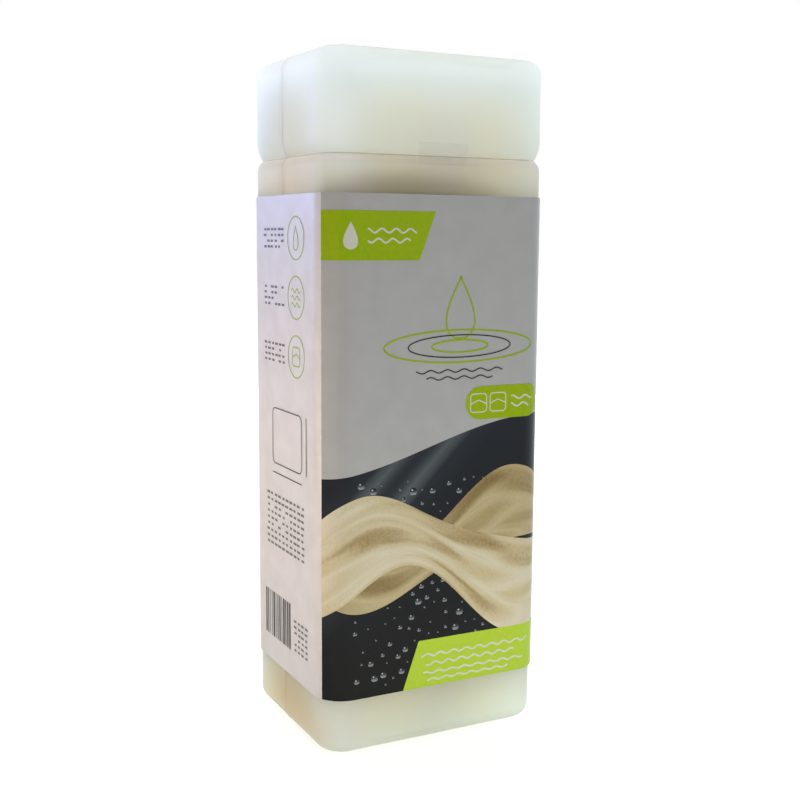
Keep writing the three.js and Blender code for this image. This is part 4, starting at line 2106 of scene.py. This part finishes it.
@dataclass(frozen=True)
class RolledLeather:
    """One leather: a skin folded once across, so that its fold is at the floor, and rolled up.

    A cut end is a pair: the length of its waves, and the row of the noise that they are taken from.
    """

    body: Moulding
    side: Side
    floor: float
    top: float
    thickness: float = 0.8
    fold_gap: float = 0.3
    wrap_gap: float = 0.5
    core_radius: float = 2.5
    corner_radius: float = 9.0
    side_gap: float = 0.9
    roll_gap: float = 1.0
    quarter_turn_steps: int = 12
    column_pitch: float = 2.6
    rows_to_layer: int = 24
    fold_steps: int = 6
    edge_wave: float = 1.8
    edge_drop: float = 0.75
    edge_share: float = 0.5
    edge_sway: float = 34.0
    edge_sway_apart: float = 5.0
    edge_sway_seed: float = 2.0
    edge_flutter: float = 11.0
    edge_flutter_share: float = 0.5
    edge_flutter_seed: float = 8.0
    end_wave: float = 5.0
    first_end: Flat = (30.0, 1.0)
    last_end: Flat = (38.0, 6.0)
    end_seed: float = 4.0
    ripple: float = 0.07
    ripple_along: float = 13.0
    ripple_up: float = 21.0
    ripple_seed: float = 1.0
    end_draw: float = 0.12
    end_reach: float = 40.0

    @property
    def band(self) -> float:
        """Thickness of the two layers and the gap between them."""
        return 2 * self.thickness + self.fold_gap

    @property
    def room(self) -> Flat:
        """Breadth and length of the roll's half of the neck, clear of the sides.

        Returns:
            Both, in millimetres.
        """
        inside = self.body.neck_inset + self.body.wall + self.side_gap
        breadth = (2 * (self.body.half_width - inside) - self.roll_gap) / 2
        return breadth, 2 * (self.body.half_depth - inside)

    def winding(self) -> list[WoundPoint]:
        """Winds the middle of the folded skin round its flat core.

        Returns:
            The winding's points.
        """
        breadth, length = self.room
        core = length - breadth
        pitch = self.band + self.wrap_gap
        quarter_turns = math.floor(4 * ((breadth - self.band) / 2 - self.core_radius) / pitch)
        found: list[WoundPoint] = []
        for quarter in range(quarter_turns):
            sign_x, sign_y = ((1, 1), (-1, 1), (-1, -1), (1, -1))[quarter % 4]
            for step in range(self.quarter_turn_steps + 1):
                turned = (quarter + step / self.quarter_turn_steps) / 4
                out = Vector((math.cos(2 * math.pi * turned), math.sin(2 * math.pi * turned)))
                reach = self.core_radius + pitch * turned
                radius = min(reach, self.corner_radius)
                centre = Vector((sign_x * (reach - radius), sign_y * (core / 2 + reach - radius)))
                spot = centre + out * radius
                so_far = found[-1].so_far + (spot - found[-1].spot).length if found else 0.0
                found.append(WoundPoint(so_far, spot, out))
        return found

    def across(self, along: float) -> list[Place]:
        """Gives the skin's path across the roll: down one layer, round the fold and up the other.

        Args:
            along: Place along the winding.

        Returns:
            Offset outward, height, and distance across the skin from its first edge, for each point.
        """
        offset = (self.thickness + self.fold_gap) / 2
        bottom = self.floor + self.thickness / 2 + offset
        layers = []
        for sign in (1, -1):
            sway = Vector((along / self.edge_sway, self.edge_sway_apart * sign, self.edge_sway_seed))
            flutter = Vector((along / self.edge_flutter, sign, self.edge_flutter_seed))
            wave = noise.noise(sway) + self.edge_flutter_share * noise.noise(flutter)
            top = self.top - self.edge_wave * (self.edge_drop + self.edge_share * wave)
            shares = [row / self.rows_to_layer for row in range(self.rows_to_layer + 1)]
            layers.append([(sign * offset, top + (bottom - top) * share) for share in shares])
        turns = [math.pi * step / self.fold_steps for step in range(1, self.fold_steps)]
        fold = [(offset * math.cos(turn), bottom - offset * math.sin(turn)) for turn in turns]
        path = [*layers[0], *fold, *reversed(layers[1])]
        measured = []
        so_far = 0.0
        for before, here in zip([path[0], *path], path):
            so_far += math.dist(before, here)
            measured.append((*here, so_far))
        return measured

    def cut_back(self, end: Flat, distance: float) -> float:
        """Gives how far an end of the skin is cut back, at a distance across it from its first edge."""
        length, row = end
        return self.end_wave * (0.5 + 0.5 * noise.noise(Vector((distance / length, row, self.end_seed))))

    def drawn_in(self, height: float) -> float:
        """Gives the share of its full breadth that a soft roll keeps near its two ends."""
        from_end = min(self.top - height, height - self.floor)
        return 1.0 - self.end_draw * (1.0 - smooth_step(from_end / self.end_reach))

    def build(self, finish: Finish) -> Piece:
        """Makes the rolled skin and hangs it on its body.

        Args:
            finish: The leather's finish.

        Returns:
            The piece.
        """
        winding = self.winding()
        length = winding[-1].so_far
        columns = math.ceil(length / self.column_pitch)
        turn = Matrix.Rotation(0.0 if self.side is Side.LEFT else math.pi, 3, "Z")
        middle = Vector((self.side.value * (self.room[0] + self.roll_gap) / 2, 0.0, 0.0))
        points = []
        for column in range(columns + 1):
            for offset, height, distance in self.across(length * column / columns):
                first = self.cut_back(self.first_end, distance)
                last = length - self.cut_back(self.last_end, distance)
                along = first + (last - first) * column / columns
                spot, out = self.on_winding(winding, along)
                sample = Vector((along / self.ripple_along, height / self.ripple_up, self.ripple_seed))
                spot = spot * self.drawn_in(height) + out * (offset + self.ripple * noise.noise(sample))
                points.append((turn @ Vector((spot.x, spot.y, height)) + middle) * MM)
        mesh = thickened(points, columns + 1, self.thickness)
        name = self.side.name.lower()
        node = f"chamois_leather_{name}"
        piece = make_piece(f"chamois_skin_{name}", mesh, [finish], f"leather_{name}", [node])
        return piece

    @staticmethod
    def on_winding(winding: Sequence[WoundPoint], along: float) -> tuple[Vector, Vector]:
        """Finds a place on the winding.

        Args:
            winding: The winding's points.
            along: The length to find.

        Returns:
            The place and its outward direction.
        """
        after = bisect_right(winding, along, key=lambda point: point.so_far)
        after = min(max(after, 1), len(winding) - 1)
        start, stop = winding[after - 1], winding[after]
        share = (along - start.so_far) / max(stop.so_far - start.so_far, LEAST_LENGTH)
        return start.spot.lerp(stop.spot, share), start.out.lerp(stop.out, share).normalized()


@dataclass(frozen=True)
class PhotoCamera:
    """The photograph's viewpoint, from fitting the moulding's edges to it."""

    aim_height: float
    azimuth: float = -27.22
    elevation: float = 7.89
    roll: float = 0.395
    distance: float = 429.8
    aside: float = 1.94
    above: float = -1.58
    focal_pixels: float = 1173.2
    nearest: float = 10.0

    def build(self) -> None:
        """Makes the camera and gives it to the scene."""
        azimuth, elevation = math.radians(self.azimuth), math.radians(self.elevation)
        level = math.cos(elevation)
        back = Vector((math.sin(azimuth) * level, -math.cos(azimuth) * level, math.sin(elevation)))
        right = Vector((0.0, 0.0, 1.0)).cross(back).normalized()
        right = Matrix.Rotation(math.radians(self.roll), 3, back) @ right
        up = back.cross(right)
        aim = Vector((0.0, 0.0, self.aim_height))
        place = (aim + back * self.distance + right * self.aside + up * self.above) * MM
        data = bpy.data.cameras.new("photo_camera")
        data.sensor_fit = "HORIZONTAL"
        data.sensor_width = SENSOR_WIDTH
        data.lens = self.focal_pixels / PHOTO_PIXELS * SENSOR_WIDTH
        data.clip_start = self.nearest * MM
        camera = bpy.data.objects.new("photo_camera", data)
        axes = Matrix((right, up, back)).transposed().to_4x4()
        camera.matrix_world = Matrix.Translation(place) @ axes
        bpy.context.scene.collection.objects.link(camera)
        bpy.context.scene.camera = camera


@dataclass(frozen=True)
class SoftLight:
    """A square of soft light, aimed at a place. Places are in metres, and its spread in degrees."""

    name: str
    place: Place
    aim: Place
    size: float
    power: float
    colour: str
    spread: float = 180.0

    def build(self) -> None:
        """Makes the light."""
        data = bpy.data.lights.new(self.name, "AREA")
        data.shape = "SQUARE"
        data.size = self.size
        data.energy = self.power
        data.color = linear(self.colour)[:3]
        data.spread = math.radians(self.spread)
        light = bpy.data.objects.new(self.name, data)
        toward = Vector(self.aim) - Vector(self.place)
        light.rotation_euler = toward.to_track_quat("-Z", "Y").to_euler()
        light.location = self.place
        bpy.context.scene.collection.objects.link(light)


@dataclass(frozen=True)
class Studio:
    """A white studio lit mostly from behind, so that the plastic glows and the front is calm."""

    floor_reach: float = 4.0
    ambient: float = 0.285
    white: str = "#FFFFFF"
    lights: tuple[SoftLight, ...] = (
        SoftLight("back_left", (-0.55, 0.72, 0.2), (0.0, 0.0, 0.12), 0.2, 0.3, "#B0C4FF"),
        SoftLight("back_right", (0.5, 0.75, 0.2), (0.0, 0.0, 0.1), 0.4, 3.3, "#FFFCF4"),
        SoftLight("left", (-0.85, 0.3, 0.12), (0.0, 0.0, 0.1), 0.3, 0.18, "#FFDCB8"),
        SoftLight("left_top", (-0.3, 0.36, 0.27), (-0.04, 0.0, 0.225), 0.1, 0.05, "#98ABFF", 40.0),
        SoftLight("left_low", (-0.6, 0.2, 0.03), (-0.04, 0.0, 0.08), 0.1, 0.026, "#FFD8BC", 24.0),
        SoftLight("right", (0.85, 0.3, 0.2), (0.0, 0.0, 0.12), 0.3, 0.27, "#F4FAFF"),
        SoftLight("overhead", (0.0, 0.08, 0.9), (0.0, 0.08, 0.0), 0.4, 0.25, "#E8F2FF", 40.0),
        SoftLight("front_table", (-0.03, -0.2, 0.004), (-0.03, -0.2, 1.0), 0.3, 0.2, "#FFF8E4"),
        SoftLight("front_left", (-0.62, -0.5, 0.12), (0.0, 0.0, 0.09), 0.25, 0.38, "#FFC68C"),
        SoftLight("front_right", (0.6, -0.7, 0.3), (0.0, 0.0, 0.12), 0.4, 0.45, "#DCECFF"),
    )

    def build_floor(self) -> None:
        """Lays the white floor that the tub stands on."""
        reach = self.floor_reach
        corners = [Vector((x * reach, y * reach, 0.0)) for x, y in ((-1, -1), (1, -1), (1, 1), (-1, 1))]
        mesh = bpy.data.meshes.new("studio_floor")
        mesh.from_pydata(corners, [], [(0, 1, 2, 3)])
        mesh.materials.append(StudioSweep("White studio floor").material())
        placed("studio_floor", mesh)

    def build_world(self) -> None:
        """Surrounds the scene with soft white light that shows as a white background."""
        world = bpy.data.worlds.new("studio")
        world.use_nodes = True
        tree = world.node_tree
        tree.nodes.clear()
        level = {"Value": rays_that_show(tree), "To Min": self.ambient, "To Max": 1.0}
        strength = add_node(tree, "MapRange", level)["Result"]
        lit = {"Color": linear(self.white), "Strength": strength}
        add_node(tree, "OutputWorld", {"Surface": add_node(tree, "Background", lit)[0]})
        bpy.context.scene.world = world

    def build(self) -> None:
        """Makes the floor, the world and the lights."""
        self.build_floor()
        self.build_world()
        for light in self.lights:
            light.build()
        bpy.context.scene.view_settings.view_transform = "Standard"


def millimetres(node: str) -> tuple[Vector, Vector]:
    """Gives the lowest and highest corner of one of the frame's nodes, in millimetres."""
    low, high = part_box(node)
    return low / MM, high / MM


def main() -> None:
    """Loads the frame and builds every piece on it."""
    logging.basicConfig(level=logging.INFO, format="%(name)s: %(message)s")
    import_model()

    lid_low, lid_high = millimetres("lid")
    tub_high = millimetres("tub")[1]
    sleeve_low, sleeve_high = millimetres("label_sleeve")
    PhotoCamera(aim_height=lid_high.z / 2).build()
    Studio().build()

    body = Moulding(half_width=lid_high.x, half_depth=lid_high.y)
    plastic = NaturalPolyethylene("Natural blow-moulded polyethylene")
    tub = Tub(body, neck_top=tub_high.z)
    lid = Lid(body, rim=lid_low.z, top=lid_high.z)
    tub.build(plastic)
    lid.build(plastic)
    film = ClearFilm("Clear polypropylene tape")
    SealTape(tub, lid).build(film, cut_edge=ClearFilm("Cut edge of clear tape", cover=0.06))

    sleeve = CardSleeve(body, bottom=sleeve_low.z, top=sleeve_high.z)
    edges = (sleeve.bottom, sleeve.top)
    card = CoatedCard("Clay-coated card", creases=sleeve.creases, edges=edges)
    grey_back = BoardCore("Grey board back", pale="#BDB6A8", grey="#99917F")
    sleeve.build(card, core=BoardCore("Uncoated board"), inside=grey_back)
    SleevePrint(sleeve).build()

    suede = ChamoisSuede("Oil-tanned chamois suede")
    for side in Side:
        low, high = millimetres(f"chamois_leather_{side.name.lower()}")
        RolledLeather(body, side, floor=low.z, top=high.z).build(suede)


if __name__ == "__main__":
    main()
